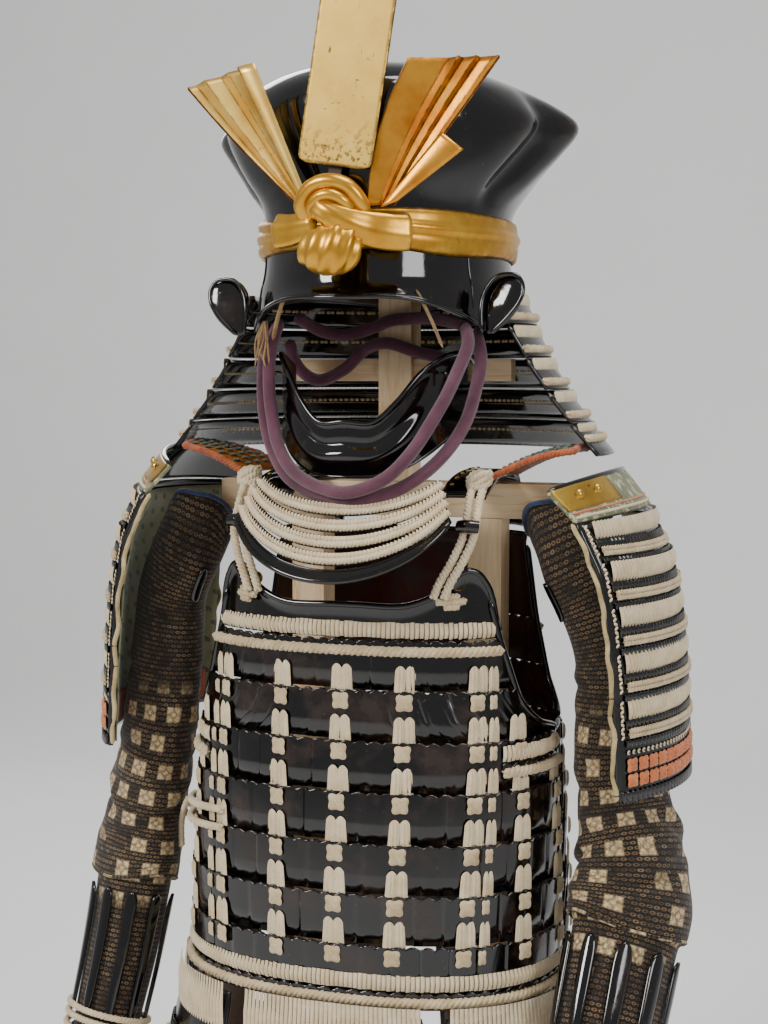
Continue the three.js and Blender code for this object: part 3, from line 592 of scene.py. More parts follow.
def brocade_finish():
    """Chain-like weave: rows of small light loops on black, and flower squares above the elbow."""
    f = Finish("brocade", Sheen_Weight=0.15, Roughness=0.85, IOR=1.4)
    loops = f.use(CELLS, f.flat, Wide=0.0062, High=0.0048, Stagger=0.5)
    x = f.math("MULTIPLY", loops.outputs["X"], 1.5)
    y = f.math("MULTIPLY", loops.outputs["Y"], 2.1)
    reach = f.math("SQRT", f.math("ADD", f.math("MULTIPLY", x, x), f.math("MULTIPLY", y, y)))
    ring = f.span(f.math("ABSOLUTE", f.math("SUBTRACT", reach, 0.46)), 0.10, 0.26, 1.0, 0.0)
    lively = f.math("MULTIPLY", ring, f.span(loops.outputs["Chance"], 0.25, 0.75, 0.15, 1.0))
    lively = f.math("MULTIPLY", lively, f.span(f.use(MOTTLE, f.object, Scale=36).outputs["Height"],
                                               0.34, 0.56, 0.25, 1.0))
    warm = f.blend(loops.outputs["Chance"], linear(166, 142, 102), linear(108, 78, 48))
    ground = f.blend(f.patches(420, 0.44, 0.6), linear(12, 11, 10), linear(38, 27, 20))
    colour = f.blend(lively, ground, warm)
    squares = f.use(CELLS, f.flat, Wide=0.0275, High=0.0285, Stagger=0.5)
    across = f.math("ABSOLUTE", squares.outputs["X"])
    down = f.math("ABSOLUTE", squares.outputs["Y"])
    block = f.span(f.math("MAXIMUM", across, down), 0.23, 0.29, 1.0, 0.0)
    petals = f.math("MULTIPLY", f.math("MULTIPLY", across, down), 26.0)
    heart = f.math("ADD", f.math("MULTIPLY", across, across), f.math("MULTIPLY", down, down))
    petals = f.math("MAXIMUM", f.span(petals, 0.10, 0.40), f.span(heart, 0.004, 0.008, 1.0, 0.0))
    height = f.add("ShaderNodeSeparateXYZ", {0: f.object}).outputs["Z"]
    zone = f.math("MULTIPLY", f.span(height, 0.46, 0.475), f.span(height, 0.665, 0.69, 1.0, 0.0))
    flower = f.math("MULTIPLY", f.math("MULTIPLY", block, f.span(petals, 0, 1, 0.45, 1.0)), zone)
    flower = f.math("MULTIPLY", flower, f.span(squares.outputs["Chance"], 0.12, 0.2))
    tone = f.blend(f.patches(500, 0.4, 0.6), linear(206, 184, 144), linear(150, 124, 86))
    f.give(Base_Color=f.blend(flower, colour, tone))
    f.relief(f.math("ADD", lively, f.math("MULTIPLY", flower, 1.2)), 0.8, 0.0012)
    return f.material


def pine_finish(name, x, y, z):
    """Pale planed pine, its grain along the axis with the smallest stretch."""
    f = Finish(name, IOR=1.45, Roughness=0.55)
    place = f.stretched(x, y, z)
    rings = f.add("ShaderNodeTexNoise", {"Vector": place, "Scale": 9.0, "Detail": 4.0, "Distortion": 0.4})
    lines = f.math("FRACT", f.math("MULTIPLY", rings.outputs["Fac"], 9.0))
    late = f.span(lines, 0.62, 1.0)
    fibre = f.patches(70, 0.4, 0.62, place)
    tone = f.blend(f.math("MULTIPLY", late, 0.75), linear(236, 208, 168), linear(214, 172, 122))
    f.give(Base_Color=f.blend(f.math("MULTIPLY", fibre, 0.35), tone, linear(206, 168, 122)))
    f.relief(f.math("ADD", late, fibre), 0.12, 0.0005)
    return f.material


def leather_finish(name, light, dark, motif, scale):
    """Grained leather with soft stencilled leaf marks."""
    f = Finish(name, IOR=1.45, Roughness=0.6)
    tone = f.blend(f.patches(28, 0.35, 0.65), linear(*light), linear(*dark))
    stencil = f.patches(scale, 0.54, 0.58)
    f.give(Base_Color=f.blend(f.math("MULTIPLY", stencil, 0.8), tone, linear(*motif)))
    grain = f.add("ShaderNodeTexVoronoi", {"Vector": f.object, "Scale": 620.0}).outputs["Distance"]
    f.relief(grain, 0.35, 0.0006)
    return f.material


def lining_finish():
    """Grey-green figured cloth: small dark leaf marks in staggered rows on a fine weave."""
    f = Finish("lining_cloth", Sheen_Weight=0.2, Roughness=0.9, IOR=1.4)
    marks = f.use(CELLS, f.flat, Wide=0.021, High=0.017, Stagger=0.5)
    x = f.math("MULTIPLY", marks.outputs["X"], 2.6)
    slanted = f.math("ADD", marks.outputs["Y"], f.math("MULTIPLY", marks.outputs["X"], 0.5))
    y = f.math("MULTIPLY", slanted, 4.0)
    leaf = f.math("ADD", f.math("MULTIPLY", x, x), f.math("MULTIPLY", y, y))
    leaf = f.math("MULTIPLY", f.span(leaf, 0.3, 0.6, 1.0, 0.0), f.patches(300, 0.35, 0.5))
    weave = f.use(THREADS, f.flat, Across=0.0012, Along=0.0012).outputs["Height"]
    tone = f.blend(f.patches(18, 0.3, 0.7), linear(142, 144, 112), linear(108, 108, 82))
    # Darker between the threads: painted shade in the gaps of the weave.
    tone = f.blend(f.span(weave, 0.0, 0.7, 0.3, 0.0), tone, linear(70, 68, 50))
    f.give(Base_Color=f.blend(f.math("MULTIPLY", leaf, 0.75), tone, linear(48, 50, 40)))
    f.relief(weave, 0.4, 0.0005)
    return f.material


BLACK = lacquer_finish("black_lacquer", (11, 10, 10), (30, 20, 15), 0.56, 0.07)
LAME_BLACK = lacquer_finish("lame_lacquer", (13, 11, 11), (40, 27, 20), 0.5, 0.14)
RIB_BLACK = lacquer_finish("rib_lacquer", (15, 14, 14), (34, 26, 22), 0.52, 0.22)
RED_BROWN = lacquer_finish("red_brown_lacquer", (58, 22, 14), (34, 14, 10), 0.45, 0.34)
GILT = gilt_finish("gilt", (214, 164, 62), (186, 128, 40), 0.66, 0.3)
PALE_GILT = gilt_finish("pale_gilt", (232, 196, 110), (214, 164, 74), 0.67, 0.36)
WARM_GILT = gilt_finish("warm_gilt", (214, 152, 56), (184, 108, 32), 0.66, 0.34)
DARK_EDGE = gilt_finish("worn_edge", (120, 74, 32), (66, 36, 18), 0.5, 0.45)
BRASS = gilt_finish("stud_brass", (204, 166, 78), (168, 126, 50), 0.68, 0.28)
CREST_LEAF = crest_finish()
SILK = silk_finish("beige_silk", (226, 208, 174), (206, 184, 146))
SILK_DEEP = silk_finish("beige_braid", (214, 194, 156), (186, 162, 122))
ORANGE_SILK = silk_finish("orange_silk", (216, 132, 82), (190, 100, 56))
GREEN_SILK = silk_finish("green_silk", (64, 100, 84), (38, 66, 56))
BLUE_SILK = silk_finish("blue_silk", (40, 62, 104), (22, 32, 56))
RED_CORD = silk_finish("red_orange_cord", (184, 98, 50), (140, 62, 30))
GOLD_CORD = silk_finish("pale_piping", (198, 178, 128), (150, 128, 84))
TAN_CORD = silk_finish("tan_cord", (170, 138, 92), (122, 92, 54))
PURPLE = woven_finish("purple_cloth", (112, 66, 84), (82, 42, 60), 0.0011, 0.35)
RED_CLOTH = woven_finish("red_cloth", (182, 62, 38), (134, 38, 24))
DARK_RED = woven_finish("dark_red_cloth", (70, 20, 20), (40, 12, 13))
BROCADE = brocade_finish()
LINING = lining_finish()
PINE_POST = pine_finish("pine_post", 3.0, 3.0, 0.35)
PINE_BAR = pine_finish("pine_bar", 0.35, 3.0, 3.0)
OCHRE_LEATHER = leather_finish("ochre_leather", (186, 116, 46), (150, 86, 32), (112, 62, 26), 95)
PRINTED_LEATHER = leather_finish("printed_leather", (126, 130, 102), (98, 104, 82), (188, 184, 150), 130)
IRON = lacquer_finish("russet_iron", (40, 26, 22), (66, 38, 26), 0.5, 0.5)


# ---- Camera, light and floor ----
def set_the_view():
    camera = bpy.data.cameras.new("camera")
    camera.lens = 59.77
    camera.sensor_width = 36
    camera.clip_end = 60
    view = bpy.data.objects.new("camera", camera)
    view.location = (0.5132, -1.5682, 1.0)
    view.rotation_euler = (math.radians(85.225), 0, math.radians(18))
    bpy.context.scene.collection.objects.link(view)
    bpy.context.scene.camera = view


def light(name, place, aim, size, power, tint=(1, 1, 1)):
    lamp = bpy.data.lights.new(name, "AREA")
    lamp.size = size
    lamp.energy = power
    lamp.color = tint
    item = bpy.data.objects.new(name, lamp)
    item.location = place
    item.rotation_euler = (Vector(aim) - Vector(place)).to_track_quat("-Z", "Y").to_euler()
    bpy.context.scene.collection.objects.link(item)


def set_the_stage():
    """A pale floor that curves up behind, broad soft lamps and an even white surround."""
    profile = [(-7.0, 0.0)] + [(2.4 + 1.2 * math.sin(a), 1.2 - 1.2 * math.cos(a))
                               for a in np.linspace(0, math.pi / 2, 10)] + [(3.6, 6.0)]
    grid = np.array([[(x, y, z) for x in (-7.0, 7.0)] for y, z in profile]) / MM
    paper = Finish("paper", Roughness=0.9)
    shade = paper.patches(1.5, 0.3, 0.7)
    paper.give(Base_Color=paper.blend(shade, (0.9, 0.9, 0.9, 1), (0.87, 0.87, 0.87, 1)))
    sheet = piece("backdrop", grid.reshape(-1, 3), grid_faces(len(profile), 2), paper.material, None)
    world = bpy.data.worlds.new("surround")
    world.use_nodes = True
    world.node_tree.nodes["Background"].inputs["Color"].default_value = (1, 1, 1, 1)
    world.node_tree.nodes["Background"].inputs["Strength"].default_value = 0.42
    bpy.context.scene.world = world
    light("key", (-1.7, -2.3, 2.5), (0, 0, 1.0), 0.9, 84, (1.0, 0.98, 0.95))
    light("fill", (2.3, -1.7, 1.9), (0, 0, 0.9), 1.0, 36)
    light("crown", (0.5, -0.3, 3.0), (0, 0, 1.1), 1.0, 34)
    light("back", (-1.4, 2.2, 2.2), (0, 0, 1.1), 1.2, 22)


# ---- Stand ----
def timber(node, material):
    """The CAD timber with planed, slightly rounded arrises."""
    import bmesh
    work = bmesh.new()
    work.from_mesh(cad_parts[node].data)
    bmesh.ops.remove_doubles(work, verts=work.verts, dist=1e-5)
    bmesh.ops.dissolve_limit(work, angle_limit=0.02, verts=work.verts, edges=work.edges)
    bmesh.ops.bevel(work, geom=work.edges[:], offset=1.3 * MM, segments=2, profile=0.6, affect="EDGES")
    mesh = bpy.data.meshes.new(node + "_planed")
    work.to_mesh(mesh)
    work.free()
    mesh.materials.clear()
    mesh.materials.append(material)
    mesh.shade_smooth()
    mesh.set_sharp_from_angle(angle=math.radians(25))
    item = bpy.data.objects.new(node + "_planed", mesh)
    bpy.context.scene.collection.objects.link(item)
    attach(item, "armour")
    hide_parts(node)


def make_stand():
    for node in ("stand_upright_right", "stand_upright_left", "stand_head_post"):
        timber(node, PINE_POST)
    for node in ("stand_base", "stand_shoulder_bar", "stand_head_bar"):
        timber(node, PINE_BAR)


def dress(node, material):
    """A CAD piece that stays as it is, in its real finish."""
    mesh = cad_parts[node].data
    mesh.materials.clear()
    mesh.materials.append(material)


# ---- Helmet ----
HELMET_AT = np.array([0.0, 28.0, 0.0])
BOWL_ROWS = [
    {"level": 0, "z": 1289, "side": 2, "front": 2, "back": 2, "lobe": 0},
    {"level": 1, "z": 1286, "side": 52, "front": 60, "back": 58, "lobe": 0},
    {"level": 2, "z": 1277, "side": 97, "front": 112, "back": 112, "lobe": 0},
    {"level": 3, "z": 1263, "side": 129, "front": 136, "back": 146, "lobe": 4},
    {"level": 4, "z": 1246, "side": 147, "front": 145, "back": 164, "lobe": 14},
    {"level": 5, "z": 1228, "side": 154, "front": 146, "back": 170, "lobe": 22},
    {"level": 6, "z": 1204, "side": 147, "front": 145, "back": 166, "lobe": 14},
    {"level": 7, "z": 1176, "side": 134, "front": 142, "back": 154, "lobe": 5},
    {"level": 8, "z": 1150, "side": 120, "front": 139, "back": 143, "lobe": 0},
    {"level": 9, "z": 1124, "side": 117, "front": 138, "back": 140, "lobe": 0},
    {"level": 10, "z": 1096, "side": 118, "front": 139, "back": 140, "lobe": 0},
    {"level": 11, "z": 1078, "side": 122, "front": 142, "back": 140, "lobe": 0},
    {"level": 12, "z": 1066, "side": 127, "front": 150, "back": 141, "lobe": 0},
]
BROW_ROWS = [
    {"angle": 0, "drop": 0},
    {"angle": 30, "drop": 2},
    {"angle": 50, "drop": 14},
    {"angle": 68, "drop": 28},
    {"angle": 84, "drop": 10},
    {"angle": 100, "drop": 0},
    {"angle": 180, "drop": 0},
]
BAND_LOW = 1103
BAND_HIGH = 1144
CREST_LEAN = math.radians(9)
CREST_AT = np.array([0.0, -158.3, 1180.0])
CREST_SIZE = {"width": 70, "height": 262, "corner": 8, "thickness": 2.5}


def bowl_point(angle, level, out=0.0):
    """The bunched cap: ears at the sides, a fold in front of each, and the brow's hanging edge."""
    turn = np.radians(angle)
    away = np.abs(angle)
    at = lambda name: flow(BOWL_ROWS, "level", level, name)
    z = at("z")
    reach = np.where(np.cos(turn) > 0, at("front"), at("back")) + out
    ear = at("lobe") * bump(away, 98, 19) * 1.15
    fold_at = mix(66, 82, ease(z, 1146, 1232))
    strength = ease(z, 1140, 1176) * ease(z, 1268, 1236)
    fold = -9.5 * strength * bump(away, fold_at, 6.5) + 5.0 * strength * bump(away, fold_at + 14, 9)
    fold = fold + 3.5 * ease(z, 1150, 1190) * ease(z, 1250, 1215) * bump(away, fold_at - 17, 11)
    sideways = (at("side") + ear + fold + out) * np.sin(turn)
    ahead = -(reach + 0.6 * fold) * np.cos(turn)
    lip = ease(level, 11, 12)
    drop = flow(BROW_ROWS, "angle", away, "drop") * lip
    return points_of(sideways, ahead, z - drop) + HELMET_AT


def make_bowl():
    angle, level = np.meshgrid(np.linspace(-180, 180, 121)[:-1], np.linspace(0, 12, 52))
    grid = bowl_point(angle, level)
    bowl = shell("bowl", grid, BLACK, 3.0, (0, 28, 1180), closed=True, inner=RED_BROWN, sharp=60)
    cap = piece("bowl_crown", np.concatenate([grid[0], [[0, 28, 1289.2]]]),
                [(k, (k + 1) % 144, 144) for k in range(144)], BLACK)
    edge = bowl_point(np.linspace(-180, 180, 181)[:-1], 12.0)
    rim = sweep("bowl_rim", np.concatenate([edge, edge[:1]]) + (0, 0, -0.6), 2.1, BLACK, ends="flat", sides=8)
    seams = []
    for angle in (58, -58, 150, -150):
        line = bowl_point(angle, np.linspace(9.4, 11.6, 14), 0.2)
        seams.append(sweep("bowl_seam", line, 1.0, BLACK, sides=6))
    bowl = joined("helmet_bowl_shell", [bowl, cap, rim, *seams])
    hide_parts("helmet_bowl")


def band_lift(angle, v):
    """The headband's thickness: one ridge on the wearer's left, three drawn folds on the right."""
    left = ease(angle, -18, 14) * ease(angle, 200, 120) + ease(angle, -120, -178)
    body = 6.2 * np.sin(math.pi * np.clip(v, 0, 1)) ** 0.35
    single = 1.9 * bump(v, 0.44, 0.10) - 0.9 * bump(v, 0.60, 0.07) - 0.8 * bump(v, 0.28, 0.07)
    draw = ease(angle, -60, -15)
    folds = 2.1 * np.abs(np.sin(3 * math.pi * v + 0.5 * draw)) - 1.2
    return body + mix(folds, single, np.clip(left, 0, 1))


def make_headband():
    angle, v = np.meshgrid(np.linspace(-180, 180, 145)[:-1], np.linspace(0, 1, 19))
    lift = band_lift(angle, v)
    draw = ease(angle, -75, -12) * ease(angle, 8, -6)
    high = BAND_HIGH - 9 * draw + 1.5 * np.sin(np.radians(3 * angle))
    low = BAND_LOW + 8 * draw + 1.2 * np.sin(np.radians(5 * angle + 40)) + 5 * bump(angle, 20, 22)
    z = mix(high, low, v)
    turn = np.radians(angle)
    reach = np.where(np.cos(turn) > 0, 139.5, 142.0)
    grid = points_of((118.5 + lift) * np.sin(turn), -(reach + lift) * np.cos(turn), z) + HELMET_AT
    # The band's low places, between its folds and along its top and bottom edges, carry marks that the gilt
    # darkens: painted shade.
    crease_shade = np.clip(1 - lift / 6.8, 0, 1)
    band = shell("helmet_band", grid, GILT, 2.2, (0, 28, 1123), closed=True, marks=crease_shade)
    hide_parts("helmet_headband")


def make_knot():
    """The headband's knot: an arched loop, a wrap that runs into the band and a folded bulb."""
    arch = route([(-24, -160, 1131), (-26, -168, 1146), (-17, -172, 1160), (0, -174, 1165),
                  (17, -172, 1160), (26, -166, 1146), (25, -160, 1134)], 40) + HELMET_AT
    inner = route([(-13, -166, 1134), (-15, -174, 1143), (-8, -177, 1151), (3, -178, 1153),
                   (13, -175, 1148), (18, -168, 1138)], 32) + HELMET_AT
    wrap = route([(-17, -166, 1146), (-10, -176, 1143), (2, -179, 1136), (16, -174, 1129),
                  (32, -163, 1124), (50, -154, 1122), (68, -143, 1122)], 44) + HELMET_AT
    share = np.linspace(0, 1, 44)
    width = 9.5 + 7.5 * ease(share, 0.05, 0.8)
    bulb = route([(-4, -166, 1122), (-1, -172, 1111), (2, -172, 1098), (3, -166, 1084)], 26) + HELMET_AT
    plump = 29 * np.sin(math.pi * np.linspace(0.18, 0.95, 26)) ** 0.6
    tuck = route([(-62, -146, 1124), (-44, -155, 1124), (-28, -163, 1126), (-14, -168, 1128)], 24) + HELMET_AT
    parts = [
        sweep("arch", arch, 8.2, GILT, folds=2, fold_depth=0.10, sides=20),
        sweep("arch_inner", inner, 6.4, GILT, folds=2, fold_depth=0.10, sides=18),
        sweep("wrap", wrap, width, GILT, folds=6, fold_depth=0.05, twist=0.9, flat=0.62, sides=36, up=(0, 1, 0)),
        sweep("bulb", bulb, plump, GILT, folds=9, fold_depth=0.075, twist=1.5, flat=0.62, sides=54, up=(0, 1, 0)),
        sweep("tuck", tuck, 11 + 5 * np.linspace(1, 0, 24), GILT, folds=5, fold_depth=0.09, flat=0.5, sides=30,
              up=(0, 1, 0)),
    ]
    knot = joined("helmet_knot_folds", parts)
    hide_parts("helmet_knot")


# Fans: pleats hold the share of the width at each crease and how far it stands forward.
FANS = [
    {"hand": "right", "top": ((-142, 1256), (-93, 1270)), "foot": ((-36, 1148), (-27, 1147)), "bow": -3,
     "pleats": ((0, 2), (0.14, -2), (0.36, 4), (0.62, -4), (0.80, 1), (1, -3))},
    {"hand": "left", "top": ((66, 1271), (150, 1268)), "foot": ((29, 1144), (54, 1146)), "bow": -9,
     "pleats": ((0, 0), (0.03, 3), (0.44, -3), (0.56, 3), (0.60, -2), (0.74, 3), (0.78, -2), (0.93, 2), (1, 5))},
]


def make_fans():
    for fan in FANS:
        creases = np.array(fan["pleats"])
        u = np.sort(np.concatenate([np.linspace(0, 1, 61), creases[:, 0]]))
        u, v = np.meshgrid(u, np.linspace(0, 1, 28))
        (x0, z0), (x1, z1) = fan["top"]
        (x2, z2), (x3, z3) = fan["foot"]
        x = mix(mix(x0, x1, u), mix(x2, x3, u), v)
        x = x + fan["bow"] * np.sin(math.pi * v) * (1 - u)
        z = mix(mix(z0, z1, u), mix(z2, z3, u), v)
        stand = np.interp(u, creases[:, 0], creases[:, 1]) * mix(1.0, 0.35, v)
        grid = points_of(x, -155 - stand, z) + HELMET_AT
        # Marks along the pleat folds and the top edge, which the gilt darkens: painted shade in the folds and
        # along the top edge.
        near = np.min(np.abs(u[..., None] - creases[None, None, :, 0]), axis=-1)
        edge = np.maximum(bump(near, 0, 0.016), bump(v, 0, 0.012))
        material = PALE_GILT if fan["hand"] == "right" else WARM_GILT
        made = shell("fan_sheet", grid, material, 2.4, (0, 200, 1200), marks=0.9 * edge, sharp=28,
                     rim=DARK_EDGE)
        parts = [made]
        if fan["hand"] == "right":
            u, v = np.meshgrid(np.linspace(0, 1, 9), np.linspace(0, 1, 20))
            x = mix(mix(-93, -76, u), mix(-29, -22, u), v)
            z = mix(mix(1271, 1274, u), mix(1146, 1145, u), v)
            strip = points_of(x, -160 + 1.5 * (2 * u - 1) ** 2, z) + HELMET_AT
            # Marks along both long edges of the strip, where it lies on the fan, which the gilt darkens: painted
            # shade at the join.
            edge = np.maximum(bump(u, 0, 0.06), bump(u, 1, 0.06))
            parts.append(shell("fan_strip", strip, PALE_GILT, 2.4, (0, 200, 1200), marks=edge, rim=DARK_EDGE))
        else:
            u, v = np.meshgrid(np.linspace(0, 1, 9), np.linspace(0, 1, 20))
            x = mix(mix(98, 118, u), mix(42, 58, u), v)
            z = mix(mix(1206, 1190, u), mix(1143, 1147, u), v)
            strip = points_of(x, -160 + 2 * (2 * u - 1) ** 2, z) + HELMET_AT
            # Marks along the fold's edge at u = 0, which the gilt darkens: painted shade at the fold.
            parts.append(shell("fan_fold", strip, WARM_GILT, 2.2, (0, 200, 1200), marks=bump(u, 0, 0.08)))
        fan_made = joined("fan_" + fan["hand"], parts)
        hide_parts("helmet_fan_" + fan["hand"])


def lean(x, y, z):
    """A place on the crest, from its own upright measures."""
    c, s = math.cos(CREST_LEAN), math.sin(CREST_LEAN)
    return points_of(x * c + z * s, y, -x * s + z * c) + CREST_AT + HELMET_AT


def make_crest():
    """The crest plate, a little bowed, with its rounded corners and the socket behind."""
    half = CREST_SIZE["width"] / 2
    r = CREST_SIZE["corner"]
    tall = CREST_SIZE["height"]
    v = np.linspace(0, 1, 90)
    z = v * tall
    edge = np.minimum(z, tall - z)
    inset = np.where(edge < r, r - np.sqrt(np.clip(r * r - (r - edge) ** 2, 0, None)), 0.0)
    u = np.linspace(-1, 1, 25)
    x = (half - inset)[:, None] * u[None, :]
    z = np.broadcast_to(z[:, None], x.shape)
    grid = lean(x, 0.0 * x - 2.5, z)
    marks = np.maximum(bump(np.abs(x), half, 1.6), bump(np.minimum(z, tall - z), 0, 1.6))
    plate = shell("crest_plate", grid, CREST_LEAF, 2.4, lean(0, 60, 130), "crest", marks=marks, rim=DARK_EDGE)
    parts = [plate]
    for x0, x1, y0, y1 in ((-10, -6.3, 0.1, 7.1), (6.3, 10, 0.1, 7.1), (-6.3, 6.3, 5.3, 7.1)):
        corners = [lean(x, y, z) for x in (x0, x1) for y in (y0, y1) for z in (4, 44)]
        faces = [(0, 1, 3, 2), (4, 6, 7, 5), (0, 4, 5, 1), (2, 3, 7, 6), (0, 2, 6, 4), (1, 5, 7, 3)]
        parts.append(faced_out(piece("crest_socket", np.array(corners), faces, DARK_EDGE, "crest")))
    crest = joined("crest", parts)
    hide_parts("helmet_crest")
    dress("helmet_crest_tang", IRON)


def make_turn_backs():
    """The turned-back ears at the brow: thick drops with rolled edges."""
    for hand, side in HANDS:
        line = route([(121, -84, 1033), (127, -84, 1045), (133, -82, 1060), (137, -79, 1074), (139, -77, 1086)],
                     30) * (side, 1, 1) + HELMET_AT
        share = np.linspace(0, 1, 30)
        width = 4 + 15.5 * np.sin(math.pi * 0.5 * np.clip(share / 0.72, 0, 1)) * np.sqrt(
            np.clip(1 - (np.clip(share - 0.6, 0, 1) / 0.41) ** 2, 0.02, 1))
        drop = sweep("drop", line, width, BLACK, flat=0.24, sides=32, up=(0.25 * side, 1, 0))
        rim = []
        for turn in np.linspace(-0.5, 1.5, 40) * math.pi:
            k = 0.5 + 0.5 * math.sin(turn)
            i = int(round(k * 29))
            reach = width[i] * 0.97 * math.copysign(1, math.cos(turn) + 1e-9)
            rim.append(line[i] + np.array([reach * 0.97, -4.0, 0]))
        edge = sweep("drop_rim", route(rim[::2], 60), 2.2, BLACK, sides=8)
        made = joined("turn_back_" + hand, [drop, edge])
        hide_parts("helmet_turn_back_" + hand)


# ---- Lacing shapes ----
def shape_object(name, points, faces):
    """A small shape that only serves as the pattern for copies."""
    mesh = bpy.data.meshes.new(name)
    mesh.from_pydata((np.asarray(points, float) * MM).tolist(), [], faces)
    mesh.shade_smooth()
    return bpy.data.objects.new(name, mesh)


def strand_shape(name):
    """A flat silk strand 1 wide and 1 long in its own units, curling in at both ends."""
    rows, columns = 4, 5
    u, v = np.meshgrid(np.linspace(-0.5, 0.5, columns), np.linspace(0.5, -0.5, rows))
    rise = 1 - (2 * np.abs(v)) ** 6
    across = np.abs(np.sin(math.pi * (u + 0.5))) ** 0.6
    height = (0.25 + 0.75 * across) * rise
    return shape_object(name, points_of(u, v, height).reshape(-1, 3), [tuple(reversed(f)) for f in
                        grid_faces(rows, columns)])


def double_shape():
    """Two ribbed silk loops side by side with rounded heads, 20 wide and 24 high."""
    u, v = np.meshgrid(np.linspace(-1, 1, 25), np.array([0, 0.08, 0.3, 0.7, 1.0]))
    local = np.abs(np.abs(u) - 0.5) * 2
    head = 12 - 4.2 * local ** 2.2
    y = mix(head, -12, v)
    x = 10.2 * u * mix(0.93, 1.05, v)
    edge = np.clip((1 - local ** 8), 0, 1)
    height = (1.9 + 0.85 * np.cos(6 * math.pi * u)) * edge * np.clip(v * 6, 0.15, 1) * mix(1.0, 0.75, v)
    faces = [tuple(reversed(f)) for f in grid_faces(5, 25)]
    return shape_object("double_loop", points_of(x, y, height).reshape(-1, 3), faces)


def cross_shape():
    """A crossed knot: four rounded lobes with slanting ridges, 16 across."""
    rings, sides = 5, 24
    turn, reach = np.meshgrid(np.linspace(0, 2 * math.pi, sides, endpoint=False), np.linspace(0.02, 1, rings))
    outline = 8.4 + 1.5 * np.cos(4 * (turn - math.pi / 4))
    x = reach * outline * np.cos(turn)
    y = reach * outline * np.sin(turn)
    height = 2.3 * np.sqrt(np.clip(1 - reach ** 3, 0, 1)) + 0.7 * np.cos((x + y) * 1.25) * (1 - reach ** 4)
    return shape_object("crossed_knot", points_of(x, y, height).reshape(-1, 3),
                        [tuple(reversed(f)) for f in grid_faces(rings, sides, True)])


def dome_shape(name, sides=12, rings=4, squash=0.7):
    """A round-headed stud or knot of radius 1."""
    turn, up = np.meshgrid(np.linspace(0, 2 * math.pi, sides, endpoint=False), np.linspace(0, 0.48, rings))
    x = np.cos(up * math.pi) * np.cos(turn)
    y = np.cos(up * math.pi) * np.sin(turn)
    z = squash * np.sin(up * math.pi)
    return shape_object(name, points_of(x, y, z).reshape(-1, 3), grid_faces(rings, sides, True) +
                        [tuple(range((rings - 1) * sides, rings * sides))])


STRAND = strand_shape("strand")
DOUBLE = double_shape()
CROSS = cross_shape()
STUD = dome_shape("stud")
BEAD = dome_shape("bead", sides=8, rings=3, squash=0.6)


SCALLOP = 13.4
SILK_STEP = 4.4
BRAID_RADIUS = 5.1
BRAID_PITCH = 15.5


def row_of(surface, u_values, v, lift, width, height, spin=0.0, thick=1.4):
    """Frames for a row of upright strands on a surface."""
    return [frame_on(surface, u, v, lift, (width, height, thick), spin) for u in u_values]


def across_steps(surface, v, step, start=0.0, end=1.0):
    """Shares across a surface that lie `step` apart."""
    fine = np.linspace(start, end, 200)
    line = np.array([surface(u, v, 0.0) for u in fine])
    travel = travelled(line)
    count = max(1, int(travel[-1] / step))
    return np.interp((np.arange(count) + 0.5) * travel[-1] / count, travel, fine)


def line_on(surface, v, lift, count, start=0.0, end=1.0):
    return np.array([surface(u, v, lift) for u in np.linspace(start, end, count)])


# ---- Neck guard ----
NECK = {"lames": 5, "top": 1072, "bottom": 919, "step": 2, "gap": 2.8}
NECK_TOP = {"side": 131, "back": 146, "end": 66}
NECK_LOW = {"side": 222, "back": 176, "end": 77}


def neck_point(share, u, out):
    end = mix(NECK_TOP["end"], NECK_LOW["end"], share)
    turn = np.radians(mix(end, 360 - end, 1 - u))
    sag = out - 9 * np.sin(share * math.pi)
    side = mix(NECK_TOP["side"], NECK_LOW["side"], share) + sag
    back = mix(NECK_TOP["back"], NECK_LOW["back"], share) + sag
    z = mix(NECK["top"], NECK["bottom"], share)
    return points_of(side * np.sin(turn), -back * np.cos(turn), z) + HELMET_AT


def make_neck_guard():
    deep = NECK["top"] - NECK["bottom"]
    for k in range(NECK["lames"]):
        high = k / NECK["lames"]
        low = (k + 1) / NECK["lames"] - NECK["gap"] / deep
        last = k == NECK["lames"] - 1
        surface = lambda u, v, out: neck_point(mix(high, low, v), u, v * NECK["step"] + out)
        u, v = np.meshgrid(np.linspace(0, 1, 121), np.linspace(0, 1, 5))
        plate = shell("lame", surface(u, v, 0.0), RIB_BLACK, 2.8, (0, 60, 1100), inner=BLACK)
        steps = across_steps(surface, 0.3, 4.3, 0.006, 0.994)
        tall = 12.0 if last else 16.5
        middle = 0.17 if last else 0.27
        strands = copies("strands", STRAND, row_of(surface, steps, middle, 0.1, 4.5, tall, 0.16, 2.1), SILK)
        braid_at = 0.47 if last else 0.78
        path = line_on(surface, braid_at, 1.4, 140, 0.004, 0.996)
        braid = rope("braid", path, 4.1, 13.0, SILK_DEEP, 3)
        knots = []
        for u in across_steps(surface, 0.3, 11.5, 0.14, 0.86):
            for shift in (-0.0042, 0.0042):
                place, across, up, out, size = frame_on(surface, u + shift, 0.42, -2.9, (2.6, 1.9, 1.6))
                knots.append((place, -across, up, -out, size))
        inside = copies("inner_knots", BEAD, knots, SILK_DEEP)
        edge = sweep("edge", line_on(surface, 1.0, -1.4, 90), 1.7, BLACK, sides=8)
        made = joined(f"neck_guard_laced_{k + 1}", [plate, strands, braid, inside, edge])
        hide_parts(f"neck_guard_lame_{k + 1}")


